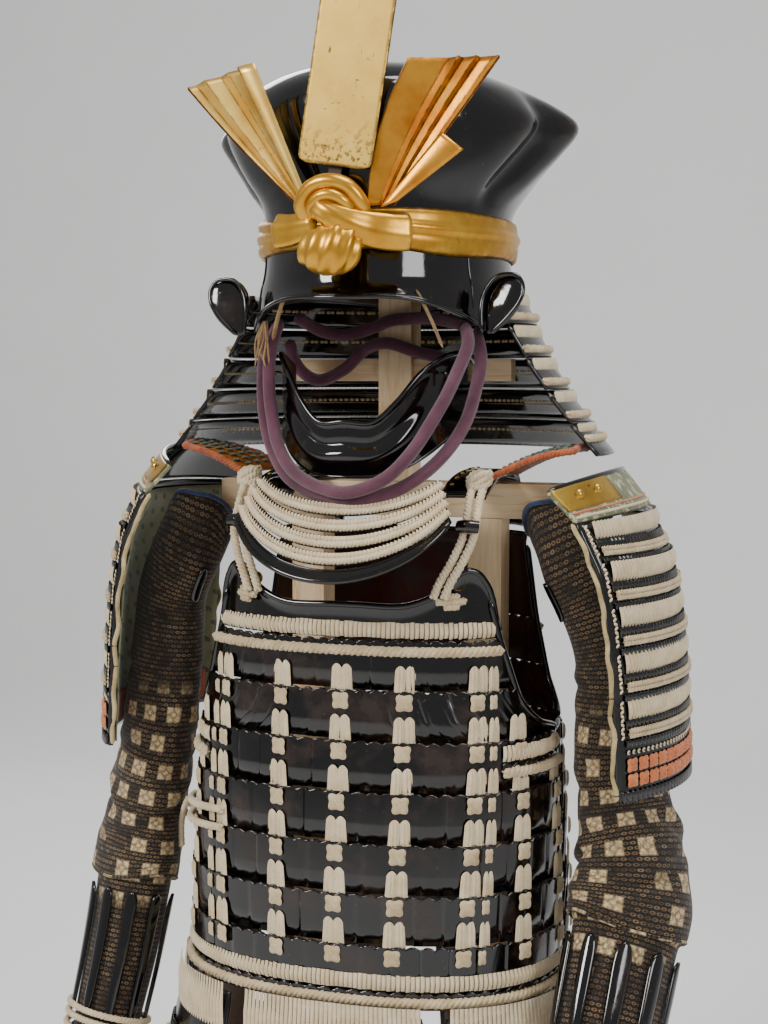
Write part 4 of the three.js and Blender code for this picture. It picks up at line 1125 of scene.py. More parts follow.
# ---- Half mask ----
MASK_ROWS = [
    {"angle": 0, "top": 953, "bottom": 902},
    {"angle": 18, "top": 954, "bottom": 903},
    {"angle": 30, "top": 972, "bottom": 907},
    {"angle": 43, "top": 996, "bottom": 916},
    {"angle": 58, "top": 1011, "bottom": 930},
    {"angle": 80, "top": 1015, "bottom": 955},
    {"angle": 96, "top": 1006, "bottom": 975},
]


def mask_point(angle, v, out=0.0):
    turn = np.radians(angle)
    away = np.abs(angle)
    top = flow(MASK_ROWS, "angle", away, "top")
    bottom = flow(MASK_ROWS, "angle", away, "bottom")
    tuck = 24 * np.clip(v - 0.6, 0, 1) ** 1.3 * np.cos(turn) ** 2 * 1.1
    front = ease(away, 62, 20)
    chin = 4.5 * bump(v, 0.62, 0.2) * front - 2.6 * bump(v, 0.40, 0.09) * front
    lip = 2.4 * ease(v, 0.10, 0.0)
    reach = out - tuck + chin + lip
    return points_of((92 + reach) * np.sin(turn), -5 - (100 + reach) * np.cos(turn), mix(top, bottom, v))


def make_mask():
    angle, v = np.meshgrid(np.linspace(-96, 96, 81), np.linspace(0, 1, 32))
    face = shell("mask", mask_point(angle, v), BLACK, 2.5, (0, 0, 950), inner=RED_BROWN, sharp=60)
    arc = np.linspace(-96, 96, 90)
    rim = sweep("mask_rim", mask_point(arc, 0.0, -0.8), 2.4, BLACK, sides=10)
    foot = sweep("mask_foot", mask_point(arc, 1.0, -0.8), 1.6, BLACK, sides=8)
    hooks = []
    for side in (-1, 1):
        base = mask_point(side * 57, 0.16, 1.0)
        out = unit(mask_point(side * 57, 0.16, 5.0) - base)
        bent = base + out * 8
        hook = route([base, base + out * 7, bent + (side * 1.5, 0, -5), bent + (side * 2, 0, -13)], 16)
        hooks.append(sweep("hook", hook, 1.5, BLACK, sides=8))
    mask = joined("half_mask_shell", [face, rim, foot, *hooks])
    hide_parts("half_mask")


# ---- Throat guard ----
THROAT = {"lames": 5, "half_angle": 68, "gap": 0.07, "step": 2}
THROAT_TOP = {"side": 92, "front": 38, "y": -74, "z": 878, "rise": 36}
THROAT_LOW = {"side": 112, "front": 76, "y": -89, "z": 808, "rise": 88}


def throat_point(share, u, out):
    turn = np.radians(mix(-THROAT["half_angle"], THROAT["half_angle"], u))
    at = lambda name: mix(THROAT_TOP[name], THROAT_LOW[name], share)
    z = at("z") + at("rise") * (1 - np.cos(turn)) + 0.25 * out
    return points_of((at("side") + out) * np.sin(turn), at("y") - (at("front") + out) * np.cos(turn), z)


def make_throat_guard():
    for k in range(THROAT["lames"]):
        last = k == THROAT["lames"] - 1
        high, low = k / THROAT["lames"], (k + 1) / THROAT["lames"] - THROAT["gap"]
        surface = lambda u, v, out: throat_point(mix(high, low, v), u, v * THROAT["step"] + out)
        u, v = np.meshgrid(np.linspace(0, 1, 91), np.linspace(0, 1, 6))
        grid = surface(u, v, 0.0)
        parts = [shell("lame", grid, BLACK, 2.4, (0, -60, 880), inner=BLACK)]
        parts.append(sweep("edge", line_on(surface, 1.0, -0.9, 70), 2.6 if last else 1.5, BLACK, sides=8))
        parts.append(sweep("edge", line_on(surface, 0.0, -0.6, 70), 1.2, BLACK, sides=8))
        if not last:
            steps = across_steps(surface, 0.4, 3.6, 0.01, 0.99)
            frames = row_of(surface, steps, 0.24, 0.2, 3.6, 6.2, 0.1, 1.6)
            parts.append(copies("strands", STRAND, frames, SILK))
            parts.append(rope("braid", line_on(surface, 0.74, 1.5, 80, 0.01, 0.99), 3.5, 10.0, SILK, 3))
        made = joined(f"throat_guard_laced_{k + 1}", parts)
        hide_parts(f"throat_guard_lame_{k + 1}")


# ---- Cuirass ----
TORSO_ROWS = [
    {"z": 418, "side": 184, "front": 141, "back": 124},
    {"z": 530, "side": 182, "front": 135, "back": 122},
    {"z": 600, "side": 179, "front": 127, "back": 120},
    {"z": 662, "side": 174, "front": 119, "back": 116},
    {"z": 721, "side": 167, "front": 112, "back": 112},
    {"z": 768, "side": 162, "front": 108, "back": 108},
    {"z": 840, "side": 156, "front": 109, "back": 104},
]
ARMHOLE_ROWS = [
    {"z": 660, "front": 88.5, "back": 91.5},
    {"z": 664, "front": 88.5, "back": 91.5},
    {"z": 669, "front": 80, "back": 100},
    {"z": 680, "front": 70, "back": 110},
    {"z": 700, "front": 62, "back": 118},
    {"z": 755, "front": 54, "back": 124},
    {"z": 840, "front": 46, "back": 128},
]
CHEST_ROWS = [
    {"angle": 0, "top": 786},
    {"angle": 20, "top": 788},
    {"angle": 30, "top": 800},
    {"angle": 37, "top": 815},
    {"angle": 43, "top": 818},
    {"angle": 48, "top": 810},
    {"angle": 52, "top": 790},
    {"angle": 54, "top": 764},
]
LAMES = 7
LAME_PITCH = 46
FIRST_TOP = 755
HEM = 424
BACK_TOP = 838
LAME_STEP = 3
FRONT_COLUMNS = (0, 16, -16, 41, -41, 60, -60, 84, -84)
BACK_COLUMNS = (180, 160, 200, 138, 222, 118, 242, 99, 261)


def torso_point(angle, z, out=0.0):
    turn = np.radians(angle)
    front = np.interp(z, column(TORSO_ROWS, "z"), column(TORSO_ROWS, "front"))
    back = np.interp(z, column(TORSO_ROWS, "z"), column(TORSO_ROWS, "back"))
    reach = np.where(np.cos(turn) > 0, front, back) + out
    side = np.interp(z, column(TORSO_ROWS, "z"), column(TORSO_ROWS, "side")) + out
    rounded = lambda value: np.sign(value) * np.abs(value) ** (2 / 2.4)
    return points_of(side * rounded(np.sin(turn)), -reach * rounded(np.cos(turn)), z)


def lame_top(k):
    return FIRST_TOP - LAME_PITCH * k


def lame_low(k):
    return lame_top(k + 1) if k < LAMES - 1 else HEM


def lame_surface(k):
    """A lame in its own measures: the angle, and millimetres below its top edge."""
    def surface(angle, t, out):
        z = lame_top(k) - t
        share = np.clip(t / (lame_top(k) - lame_low(k)), -0.1, 1)
        return torso_point(angle, z, LAME_STEP * (1 - share) + out)
    return surface


def lame_ends(z, back):
    ends = read(ARMHOLE_ROWS, "z", z, "back" if back else "front")
    return (ends, 360 - ends) if back else (-ends, ends)


def lame_plate(k, back=False):
    """Overlapping scales in one lacquered plate: a scalloped head, a step at every second scale."""
    surface = lame_surface(k)
    deep = lame_top(k) - lame_low(k)
    t = np.array([0, 1.2, 3, 7, 14, 28, 0.985 * deep])[:, None]
    z = lame_top(k) - t
    low, high = lame_ends(z, back)
    share = np.linspace(0, 1, 151 if back else 231)[None, :]
    angle = mix(low, high, share)
    centre = 180 if back else 0
    travel = torso_travel(angle, centre, lame_top(k) - 0.5 * deep)
    scallop = 3.4 * (np.abs(np.sin(math.pi * travel / SCALLOP)) ** 0.7 - 1)
    lower = t - scallop * ease(t, 9, 0)
    plate = np.mod(travel / (2 * SCALLOP) + 0.25 * (k % 2), 1.0)
    step = 1.3 * (1 - plate) ** 2 - 0.9 * bump(plate, 0.0, 0.03) - 0.9 * bump(plate, 1.0, 0.03)
    swell = 0.5 * np.sin(math.pi * plate)
    uneven = 0.35 * np.sin(travel / 23.0 + 1.9 * k)
    return surface(angle, lower, step + swell + uneven)


def torso_travel(angle, centre, z):
    """Distance round the body from the centre line, at one height."""
    fine = np.linspace(centre - 135, centre + 135, 400)
    line = torso_point(fine, z)
    steps = travelled(line)
    return np.interp(angle, fine, steps - np.interp(centre, fine, steps))


def lame_lacing(k, columns, back=False):
    """Paired loops at the foot of a lame and a crossed knot at its head, in each column."""
    surface = lame_surface(k)
    loops = []
    crosses = []
    for place in columns:
        bottom = lame_top(k) - 34
        low, high = lame_ends(bottom, back)
        centre = 180 if back else 0
        drawn = centre + (place - centre) * mix(1.05, 0.86, k / 6) if abs(place - centre) < 50 else place
        if not low + 3 < drawn < high - 3:
            continue
        side = 1 if drawn > centre else -1
        if k < LAMES - 1:
            loops.append(frame_on(surface, drawn, 35.0, 1.3))
        low, high = lame_ends(lame_top(k) - 10, back)
        if k > 0 and low + 3 < drawn < high - 3:
            crosses.append(frame_on(surface, drawn, 10.5, 1.7))
        if abs(abs(place - centre) - 41) < 3:
            wide = drawn + side * 6.6
            if k < LAMES - 1 and low < wide < high:
                loops.append(frame_on(surface, wide, 35.5, 1.2, (0.52, 0.96, 1.0)))
            if k > 0 and low + 1 < wide < high - 1:
                crosses.append(frame_on(surface, wide, 10.5, 1.5, (0.52, 0.86, 0.9)))
    parts = []
    if loops:
        parts.append(copies("loops", DOUBLE, loops, SILK))
    if crosses:
        parts.append(copies("crosses", CROSS, crosses, SILK_DEEP))
    return parts


def laced_edge(k, t, angles, back=False):
    """A row of upright strands, a black scalloped edge and a laid braid under it."""
    surface = lame_surface(k)
    low, high = angles
    count_line = np.linspace(low, high, 300)
    line = surface(count_line, t, 0.0)
    travel = travelled(line)
    count = int(travel[-1] / SILK_STEP)
    places = np.interp((np.arange(count) + 0.5) * travel[-1] / count, travel, count_line)
    frames = [frame_on(surface, a, t, 1.4, (4.1, 14.5 + 0.8 * math.sin(7 * a), 3.3)) for a in places]
    parts = [copies("strands", STRAND, frames, SILK)]
    fine = np.linspace(low, high, 261)
    distance = torso_travel(fine, 180 if back else 0, lame_top(k) - t)
    wave = 3.4 * (np.abs(np.sin(math.pi * distance / SCALLOP)) ** 0.7 - 1)
    rows = np.array([8.0, 9.4, 12.0, 24.0])[:, None]
    grid = surface(fine[None, :], t + rows - wave[None, :] * np.array([1, 1, 0.5, 0])[:, None], 2.4)
    parts.append(shell("hem", grid, LAME_BLACK, 2.0, (0, 0, lame_top(k) - t)))
    path = surface(np.linspace(low + 0.4, high - 0.4, 160), t + 17.0, 3.6)
    parts.append(rope("braid", path, BRAID_RADIUS, BRAID_PITCH, SILK_DEEP, 3))
    return parts


def make_front():
    angle, v = np.meshgrid(np.linspace(-54, 54, 85), np.linspace(0, 1, 20))
    top = flow(CHEST_ROWS, "angle", np.abs(angle), "top")
    z = mix(top, FIRST_TOP + 0.6, v)
    rim = 3.2 * bump(v * (top - FIRST_TOP), 1.0, 5.0)
    plate = shell("chest", torso_point(angle, z, rim), BLACK, 3.0, (0, 0, 770), inner=RED_BROWN, sharp=60)
    line = np.linspace(-54, 54, 100)
    crest_line = torso_point(line, flow(CHEST_ROWS, "angle", np.abs(line), "top"), 1.2)
    edge = sweep("chest_rim", crest_line, 3.0, BLACK, sides=12)
    surface = lambda a, t, out: torso_point(a, FIRST_TOP - t, out)
    fine = np.linspace(-52.6, 52.6, 300)
    travel = torso_travel(fine, 0, FIRST_TOP + 8.5)
    places = np.interp(np.arange(travel[0], travel[-1], SILK_STEP), travel, fine)
    frames = [frame_on(surface, a, -8.5, 0.8, (4.1, 14.5 + math.sin(5 * a), 3.3)) for a in places]
    band = copies("band", STRAND, frames, SILK)
    chest = joined("chest_plate", [plate, edge, band])
    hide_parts("cuirass_chest_plate")
    for k in range(LAMES):
        made = shell("lame", lame_plate(k), LAME_BLACK, 3.0, (0, 0, lame_top(k) - 20), inner=RED_BROWN,
                     sharp=32)
        parts = [made, *lame_lacing(k, FRONT_COLUMNS)]
        if k == 0:
            path = lame_surface(0)(np.linspace(-53.2, 53.2, 160), 10.0, 3.4)
            parts.append(rope("braid", path, BRAID_RADIUS, BRAID_PITCH, SILK_DEEP, 3))
        if k == 2:
            parts += laced_edge(2, 12.0, (51, 88.3))
            parts += laced_edge(2, 12.0, (-88.3, -51))
        if k == LAMES - 1:
            parts += laced_edge(k, 33.5, (-88.4, 88.4))
        lame = joined(f"cuirass_laced_{k + 1}", parts)
        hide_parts(f"cuirass_lame_{k + 1}")


def armhole_rim(side):
    """The thick rolled edge round each armhole, from the chest down and up to the back."""
    zs = np.concatenate([np.linspace(812, 668, 40), np.linspace(664, 662, 4)])
    front = torso_point(side * read(ARMHOLE_ROWS, "z", zs, "front"), zs, 1.0)
    back_z = np.concatenate([np.linspace(662, 664, 4), np.linspace(668, 836, 40)])
    back = torso_point(side * read(ARMHOLE_ROWS, "z", back_z, "back"), back_z, 1.0)
    return route(np.concatenate([front[4:], back])[::3], 120)


def make_back():
    """The back plate: a plain upper plate, and the same laced lames down to the hem."""
    angle, v = np.meshgrid(np.linspace(0, 1, 121), np.linspace(0, 1, 24))
    z = mix(BACK_TOP, FIRST_TOP + 0.6, v)
    ends = read(ARMHOLE_ROWS, "z", z, "back")
    grid = torso_point(mix(ends, 360 - ends, angle), z, 2.6 * bump(v, 0.0, 0.07))
    parts = [shell("upper_back", grid, BLACK, 3.0, (0, 0, 800), inner=RED_BROWN)]
    surface = lambda a, t, out: torso_point(a, FIRST_TOP - t, out)
    frames = [frame_on(surface, a, -8.5, 0.8, (4.6, 14.5, 2.4)) for a in np.linspace(126, 234, 76)]
    parts.append(copies("band", STRAND, frames, SILK))
    for k in range(LAMES):
        parts.append(shell("lame", lame_plate(k, True), LAME_BLACK, 3.0, (0, 0, lame_top(k) - 20),
                           inner=RED_BROWN, sharp=32))
        parts += lame_lacing(k, BACK_COLUMNS, True)
    path = lame_surface(0)(np.linspace(125.5, 234.5, 160), 10.0, 3.4)
    parts.append(rope("braid", path, BRAID_RADIUS, BRAID_PITCH, SILK_DEEP, 3))
    parts += laced_edge(LAMES - 1, 33.5, (91.7, 268.3), True)
    top = torso_point(np.linspace(128, 232, 80), BACK_TOP, 1.2)
    parts.append(sweep("back_rim", top, 2.8, BLACK, sides=10))
    parts.append(sweep("armhole", armhole_rim(1)[62:], 3.0, BLACK, sides=10))
    parts.append(sweep("armhole", armhole_rim(-1)[62:], 3.0, BLACK, sides=10))
    for z in np.arange(652, 440, -22):
        for side in (1, -1):
            here = torso_point(side * 90.0, z, 2.2)
            pin = np.array([here + (0, 0, 9), here - (0, 0, 9)])
            parts.append(sweep("hinge", route([pin[0], here, pin[1]], 8), 2.6, BRASS if side > 0 else BLACK,
                               ends="flat", sides=10))
    back = joined("cuirass_back_laced", parts)
    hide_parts("cuirass_back")
    for side, hand in ((1, "left"), (-1, "right")):
        sweep("armhole_front_" + hand, armhole_rim(side)[2:62], 3.2, BLACK, sides=10)


# ---- Shoulders ----
STRAP_ROWS = [(106, 844), (94, 880), (76, 899), (34, 901), (-10, 896), (-46, 884)]
PAD = {"inner": 121, "outer": 196, "low": 901, "high": 927, "back": 58, "front": -46}


def make_shoulders():
    for hand, side in HANDS:
        line = route([(0, y, z) for y, z in STRAP_ROWS], 40)
        u = np.linspace(-1, 1, 13)
        x = side * (96 + 22 * u[None, :]) + 0 * line[:, 1:2]
        crown = 1.6 * (1 - u ** 4)
        grid = points_of(x, line[:, 1:2] + 0 * x, line[:, 2:3] + crown[None, :])
        parts = [shell("strap", grid, BLACK, 4.6, (side * 96, 20, 700))]
        surface = lambda s, v, out: np.array([side * (96 + 22 * s), np.interp(v, range(40), line[:, 1]),
                                              np.interp(v, range(40), line[:, 2]) + 1.6 + out])
        studs = [frame_on(surface, s, v, 0.0, 2.3) for v in range(3, 38, 4) for s in (-0.72, 0.72)]
        parts.append(copies("studs", STUD, studs, BRASS))
        for s in (-0.95, 0.95):
            rim = np.array([surface(s, v, -1.8) for v in np.linspace(0, 39, 50)])
            parts.append(sweep("strap_rim", rim, 2.0, BLACK, sides=8))
        strap = joined("strap_" + hand, parts)
        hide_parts("shoulder_strap_" + hand)
        make_pad(hand, side)


def make_pad(hand, side):
    """A winged shoulder pad: ochre leather, embroidered tufts and a laid cord round its edge."""
    def surface(u, v, out):
        share = np.clip(u, 0, 1)
        half = (PAD["back"] - PAD["front"]) / 2 * np.sqrt(1 - (0.8 * share) ** 2)
        y = (PAD["back"] + PAD["front"]) / 2 + half * (1 - 2 * v)
        crown = 5 * np.sin(share * math.pi) + 3.0 * (1 - (2 * v - 1) ** 2)
        z = mix(PAD["low"], PAD["high"], share) + crown + out
        return points_of(side * mix(PAD["inner"], PAD["outer"], share), y, z)
    u, v = np.meshgrid(np.linspace(0, 1, 30), np.linspace(0, 1, 30))
    parts = [shell("pad", surface(u, v, 0.0), OCHRE_LEATHER, 4.5, (side * 150, 6, 700))]
    around = [surface(u, 0.0, -1.5) for u in np.linspace(0, 1, 14)]
    around += [surface(1.0, v, -1.5) for v in np.linspace(0.08, 0.92, 10)]
    around += [surface(u, 1.0, -1.5) for u in np.linspace(1, 0, 14)]
    parts.append(rope("pad_cord", route(around, 160), 3.6, 11, RED_CORD, 3))
    tufts = []
    for i, u in enumerate(np.linspace(0.12, 0.88, 8)):
        for j, v in enumerate(np.linspace(0.14, 0.86, 8)):
            if (i + j) % 2 == 0:
                frame_here = frame_on(surface, float(u), float(v), 0.6)
                tufts.append((*frame_here[:4], (3.2, 6.6, 3.2)))
    parts.append(copies("tufts", BEAD, tufts, GREEN_SILK))
    pad = joined("pad_" + hand, parts)
    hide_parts("shoulder_pad_" + hand)


# ---- Shoulder guards ----
GUARD = {"radius": 192, "half_angle": 39, "y": 31, "wall": 5,
         "top": 892, "plate": 26, "seam": 3, "bottom": 615}
GUARD_ROWS = [
    {"z": 615, "x": 254},
    {"z": 720, "x": 249},
    {"z": 772, "x": 244},
    {"z": 822, "x": 234},
    {"z": 866, "x": 213},
    {"z": 892, "x": 187},
]
GUARD_SIDES = {"right": {"side": -1, "lift": 18, "out": -3}, "left": {"side": 1, "lift": 0, "out": 0}}
RING = {"radius": 11, "wire": 1.4, "stand": 7, "angle": 23, "z": 800}


def guard_point(hand, u, z, out):
    """u runs from the front edge to the back edge of the guard."""
    row = GUARD_SIDES[hand]
    swing = mix(-GUARD["half_angle"], GUARD["half_angle"], u)
    turn = np.radians(swing)
    bulge = GUARD["radius"] * (np.cos(turn) - math.cos(math.radians(GUARD["half_angle"])))
    edge = np.interp(z, column(GUARD_ROWS, "z"), column(GUARD_ROWS, "x")) + row["out"]
    crown = 14 * ease(z, 840, 892) * (1 - (swing / GUARD["half_angle"]) ** 2)
    y = GUARD["y"] + (GUARD["radius"] + out) * np.sin(turn)
    return points_of(row["side"] * (edge + bulge + out), y, z + crown + row["lift"])


def guard_panel(hand):
    """The guard as a surface of (u, millimetres below the plate's foot, out)."""
    top = GUARD["top"] - GUARD["plate"] - GUARD["seam"]
    z = np.linspace(top, GUARD["bottom"], 120)
    line = guard_point(hand, 0.5, z, 0.0)
    travel = travelled(line)
    surface = lambda u, t, out: guard_point(hand, u, np.interp(t, travel, z), out)
    return surface, travel[-1]


def ribbed_band(surface, start, deep, pitch, ends=(0.03, 0.99)):
    """Slim black scales side by side, their slanting heads standing a little free."""
    fine = np.linspace(0, 1, 400)
    line = surface(fine, start, 0.0)
    travel = travelled(line)
    u = np.linspace(ends[0], ends[1], 4 * int(travel[-1] / pitch) + 1)[None, :]
    t = start + np.array([0, 1.2, 3.0, deep])[:, None]
    distance = np.interp(u, fine, travel)
    rib = np.abs(np.sin(math.pi * distance / pitch)) ** 0.8
    head = (2.2 * np.mod(distance / pitch, 1.0)) * np.array([1, 0.7, 0.2, 0])[:, None]
    return surface(u, t + head, 1.2 + 1.5 * rib)


def make_guards():
    for hand, side in HANDS:
        surface, deep = guard_panel(hand)
        inside = (0, 31, 700)
        u, t = np.meshgrid(np.linspace(0, 1, 31), np.linspace(0, deep, 31))
        parts = [shell("backing", surface(u, t, 0.0), RIB_BLACK, 4.6, inside, inner=BLACK)]
        pitch = (deep - 52) / 5
        for k in range(5):
            top = 1.5 + pitch * k
            steps = across_steps(surface, top + 9, SILK_STEP, 0.045, 0.99)
            tall = 0.40 * pitch
            frames = row_of(surface, steps, top + tall / 2, 1.0, 4.2, tall + 3, 0.10 * side, 3.4)
            parts.append(copies("strands", STRAND, frames, SILK))
            upper_ribs = ribbed_band(surface, top + tall, 0.23 * pitch, 5.6)
            parts.append(shell("ribs", upper_ribs, RIB_BLACK, 1.6, inside))
            for row, lay in ((0.655, 10.5), (0.755, -10.5)):
                path = line_on(surface, top + row * pitch, 2.6, 120, 0.045, 0.99)
                path = path if lay > 0 else path[::-1]
                parts.append(rope("braid", path, 2.75, abs(lay), SILK_DEEP, 3))
            lower_ribs = ribbed_band(surface, top + 0.84 * pitch, 0.17 * pitch, 5.6)
            parts.append(shell("ribs", lower_ribs, RIB_BLACK, 1.6, inside))
            small = []
            for i, t_here in enumerate(np.linspace(top + 2, top + 0.8 * pitch, 9)):
                small.append(frame_on(surface, 0.018, float(t_here), 1.2, (2.6, 1.5, 1.6), 0.6 * (-1) ** i))
            parts.append(copies("edge_knots", BEAD, small, SILK))
        foot = deep - 50
        for row, colour, size in ((5.0, SILK, 2.3), (5.0, RIB_BLACK, 1.2)):
            dots = [frame_on(surface, u, foot + row, 1.0 if size > 2 else 2.1, size)
                    for u in across_steps(surface, foot + row, 6.6, 0.03, 0.99)]
            parts.append(copies("rosettes", BEAD, dots, colour))
        for row in (16.5, 30.5):
            frames = [frame_on(surface, u, foot + row, 1.0, (0.88, 0.80, 1.0))
                      for u in across_steps(surface, foot + row, 14.5, 0.03, 0.99)]
            parts.append(copies("orange_knots", CROSS, frames, ORANGE_SILK))
        hem_ribs = ribbed_band(surface, foot + 39, 10, 6.5, (0.0, 1.0))
        parts.append(shell("ribs", hem_ribs, RIB_BLACK, 1.6, inside))
        for u_edge in (0.0, 1.0):
            rim = np.array([surface(u_edge, t_here, -1.8) for t_here in np.linspace(0, deep, 60)])
            parts.append(sweep("rim", rim, 2.3, RIB_BLACK, sides=8))
        parts.append(make_ring_stud(hand))
        guard = joined("guard_" + hand, parts)
        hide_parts("shoulder_guard_" + hand)
        make_guard_plate(hand)
        make_lining(hand)
        make_ring(hand)


def stud_frame(hand):
    side = GUARD_SIDES[hand]["side"]
    u = (RING["angle"] + GUARD["half_angle"]) / (2 * GUARD["half_angle"])
    foot = guard_point(hand, u, RING["z"], 0.0)
    turn = math.radians(RING["angle"])
    return foot, np.array([side * math.cos(turn), math.sin(turn), 0.0])


def make_ring_stud(hand):
    foot, out = stud_frame(hand)
    reach = np.array([-1, 0, 1.2, 2, 3, 8.2, 8.8, 9.6, 10.6])
    width = np.array([5.2, 5.2, 4.6, 3.0, 1.8, 1.8, 3.0, 3.6, 2.4])
    return sweep("ring_stud", foot + out * reach[:, None], width, GILT, ends="flat", sides=18)


def make_ring(hand):
    """The cord ring that hangs on its stud."""
    foot, out = stud_frame(hand)
    hang = RING["radius"] - RING["wire"] - 1.8 - 0.3
    middle = foot + out * RING["stand"] - (0, 0, hang)
    across = np.cross(out, (0, 0, 1))
    turn = np.linspace(0, 2 * math.pi, 49)
    high = np.array([0, 0, 1])
    path = middle + RING["radius"] * (np.cos(turn)[:, None] * across + np.sin(turn)[:, None] * high)
    grid = []
    for here in path[:-1]:
        spoke = unit(here - middle)
        ring = np.linspace(0, 2 * math.pi, 12, endpoint=False)
        grid.append(here + RING["wire"] * (np.cos(ring)[:, None] * spoke + np.sin(ring)[:, None] * out))
    grid = np.array(grid)
    last = 47 * 12
    faces = grid_faces(48, 12, True)
    faces += [(last + i, last + (i + 1) % 12, (i + 1) % 12, i) for i in range(12)]
    ring = faced_out(piece("ring_" + hand, grid.reshape(-1, 3), faces, GILT, "ring_" + hand))
    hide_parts("shoulder_guard_ring_" + hand)


def make_guard_plate(hand):
    """The crown plate: printed leather between brass ends, with paired studs and two piped edges."""
    inside = (0, 31, 700)
    surface = lambda u, t, out: guard_point(hand, u, GUARD["top"] - t, out)
    u, t = np.meshgrid(np.linspace(0, 1, 61), np.linspace(0, GUARD["plate"], 16))
    parts = [shell("crown", surface(u, t, 0.0), PRINTED_LEATHER, 4.8, inside, inner=BLACK)]
    for start, end in ((0.0, 0.30), (0.72, 1.0)):
        u, t = np.meshgrid(np.linspace(start, end, 20), np.linspace(-0.4, 0.66 * GUARD["plate"], 10))
        # Marks along the side edges of each brass end, which the gilt darkens: painted shade along its edges.
        marks = np.maximum(bump(u, start, 0.012), bump(u, end, 0.012))
        parts.append(shell("brass_end", surface(u, t, 0.9), BRASS, 1.2, inside, marks=marks))
    studs = [frame_on(surface, u, 8.0, 0.8, 5.4) for u in (0.10, 0.20, 0.80, 0.90)]
    parts.append(copies("crown_studs", STUD, studs, BRASS))
    path = line_on(surface, 0.0, -1.5, 60)
    parts.append(sweep("crown_rim", path, 2.8, BLACK, sides=10))
    for t_here, colour, radius in ((19.5, ORANGE_SILK, 1.0), (23.0, SILK, 1.5)):
        parts.append(sweep("piped_edge", line_on(surface, t_here, 0.5, 60), radius, colour, sides=8))
    plate = joined("guard_plate_" + hand, parts)
    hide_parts("shoulder_guard_plate_" + hand)


def lining_point(hand, u, z, out=0.0):
    slope = 1 + 0.14 * ease(z, 780, 815) + 0.4 * ease(z, 830, 866)
    return guard_point(hand, u, z, -(GUARD["wall"] + 0.6) * slope + out)


def make_lining(hand):
    """The cloth lining with its rolled, wavering piping and two red panels at the foot."""
    top = GUARD["top"] - GUARD["plate"] - GUARD["seam"] - 6
    bottom = GUARD["bottom"] + 4
    u, z = np.meshgrid(np.linspace(0, 1, 41), np.linspace(top, bottom, 45))
    pucker = -0.7 * np.abs(np.sin(9.0 * u + 0.035 * z + 1.2 * np.sin(0.02 * z))) ** 3
    grid = lining_point(hand, u, z, pucker - 0.1)
    lining = shell("lining", grid[:, ::-1], LINING, 1.3, (0, 31, 700))
    panels = []
    for start, end in ((0.05, 0.46), (0.54, 0.95)):
        u, z = np.meshgrid(np.linspace(start, end, 12), np.linspace(bottom + 34, bottom + 4, 12))
        panels.append(shell("panel", lining_point(hand, u, z, -2.4), RED_CLOTH, 0.9, (0, 31, 700)))
    cloth = joined("guard_lining_" + hand, [lining, *panels])
    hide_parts("shoulder_guard_lining_" + hand)
    for name, u_edge in (("front", 0.0), ("rear", 1.0)):
        z = np.linspace(GUARD["top"] - GUARD["plate"] - 2, GUARD["bottom"] + 2, 160)
        sway = 2.2 * np.sin(z / 9.5) + 1.3 * np.sin(z / 4.3 + 1)
        out = -4.5 + 0.8 * np.sin(z / 7.0) - 2.0 * ease(z, 780, 866)
        edge = np.array([guard_point(hand, u_edge, zz, oo) for zz, oo in zip(z, out)])
        toward = -1 if u_edge == 0 else 1
        edge[:, 1] += toward * (3.2 + 0.6 * sway)
        edge[:, 0] += 0.5 * sway
        sweep(f"guard_piping_{hand}_{name}", edge, 2.3, GOLD_CORD, sides=8)


# ---- Sleeves ----
SLEEVE_COLUMNS = ("z", "x", "y", "long", "short")
SLEEVES = {
    "left": [
        (852, 184, 6, 45, 34), (822, 199, 6, 46, 35), (780, 220, 6, 46, 35), (735, 234, 5, 45, 34),
        (690, 237, 3, 45, 34), (640, 236, 0, 46, 34), (590, 243, -6, 50, 37), (545, 254, -20, 57, 42),
        (505, 255, -34, 57, 42), (470, 251, -52, 55, 41), (435, 247, -72, 54, 40), (395, 242, -94, 52, 38),
        (355, 236, -116, 48, 35), (330, 232, -130, 46, 34),
    ],
    "right": [
        (852, 192, 6, 45, 33), (822, 206, 6, 48, 35), (780, 223, 6, 49, 35), (735, 230, 5, 49, 35),
        (690, 234, 4, 49, 35), (640, 238, 2, 49, 36), (590, 247, 0, 52, 39), (545, 255, -3, 53, 40),
        (505, 260, -8, 52, 39), (470, 263, -16, 50, 38), (435, 266, -25, 48, 37), (395, 270, -36, 46, 36),
        (355, 275, -47, 43, 35), (330, 278, -54, 42, 34),
    ],
}


def sleeve_rows(hand):
    rows = [dict(zip(SLEEVE_COLUMNS, row)) for row in SLEEVES[hand]]
    return sorted(rows, key=lambda row: row["z"])


def sleeve_point(hand, turn, z, out=0.0):
    """A point round the arm at a height on its centre line; turn is in radians."""
    rows = sleeve_rows(hand)
    z = np.asarray(z, float)
    at = lambda name, height: flow(rows, "z", height, name)
    centre = points_of(at("x", z), at("y", z), z)
    along = points_of(at("x", z - 6) - at("x", z + 6), at("y", z - 6) - at("y", z + 6), -12.0 + 0 * z)
    along = unit(along)
    twist = math.radians(50)
    wide = np.array([math.cos(twist), math.sin(twist), 0.0])
    wide = unit(wide - along * (along @ wide)[..., None])
    deep = np.cross(along, wide)
    reach = (at("long", z) + out) * np.cos(turn)
    depth = (at("short", z) + out) * np.sin(turn)
    place = centre + wide * reach[..., None] + deep * depth[..., None]
    rise = 30 * ease(-np.cos(turn + 0.35), 0.1, 0.95) * ease(z, 815, 852)
    place[..., 2] += rise
    place[..., 0] *= 1 if hand == "left" else -1
    return place


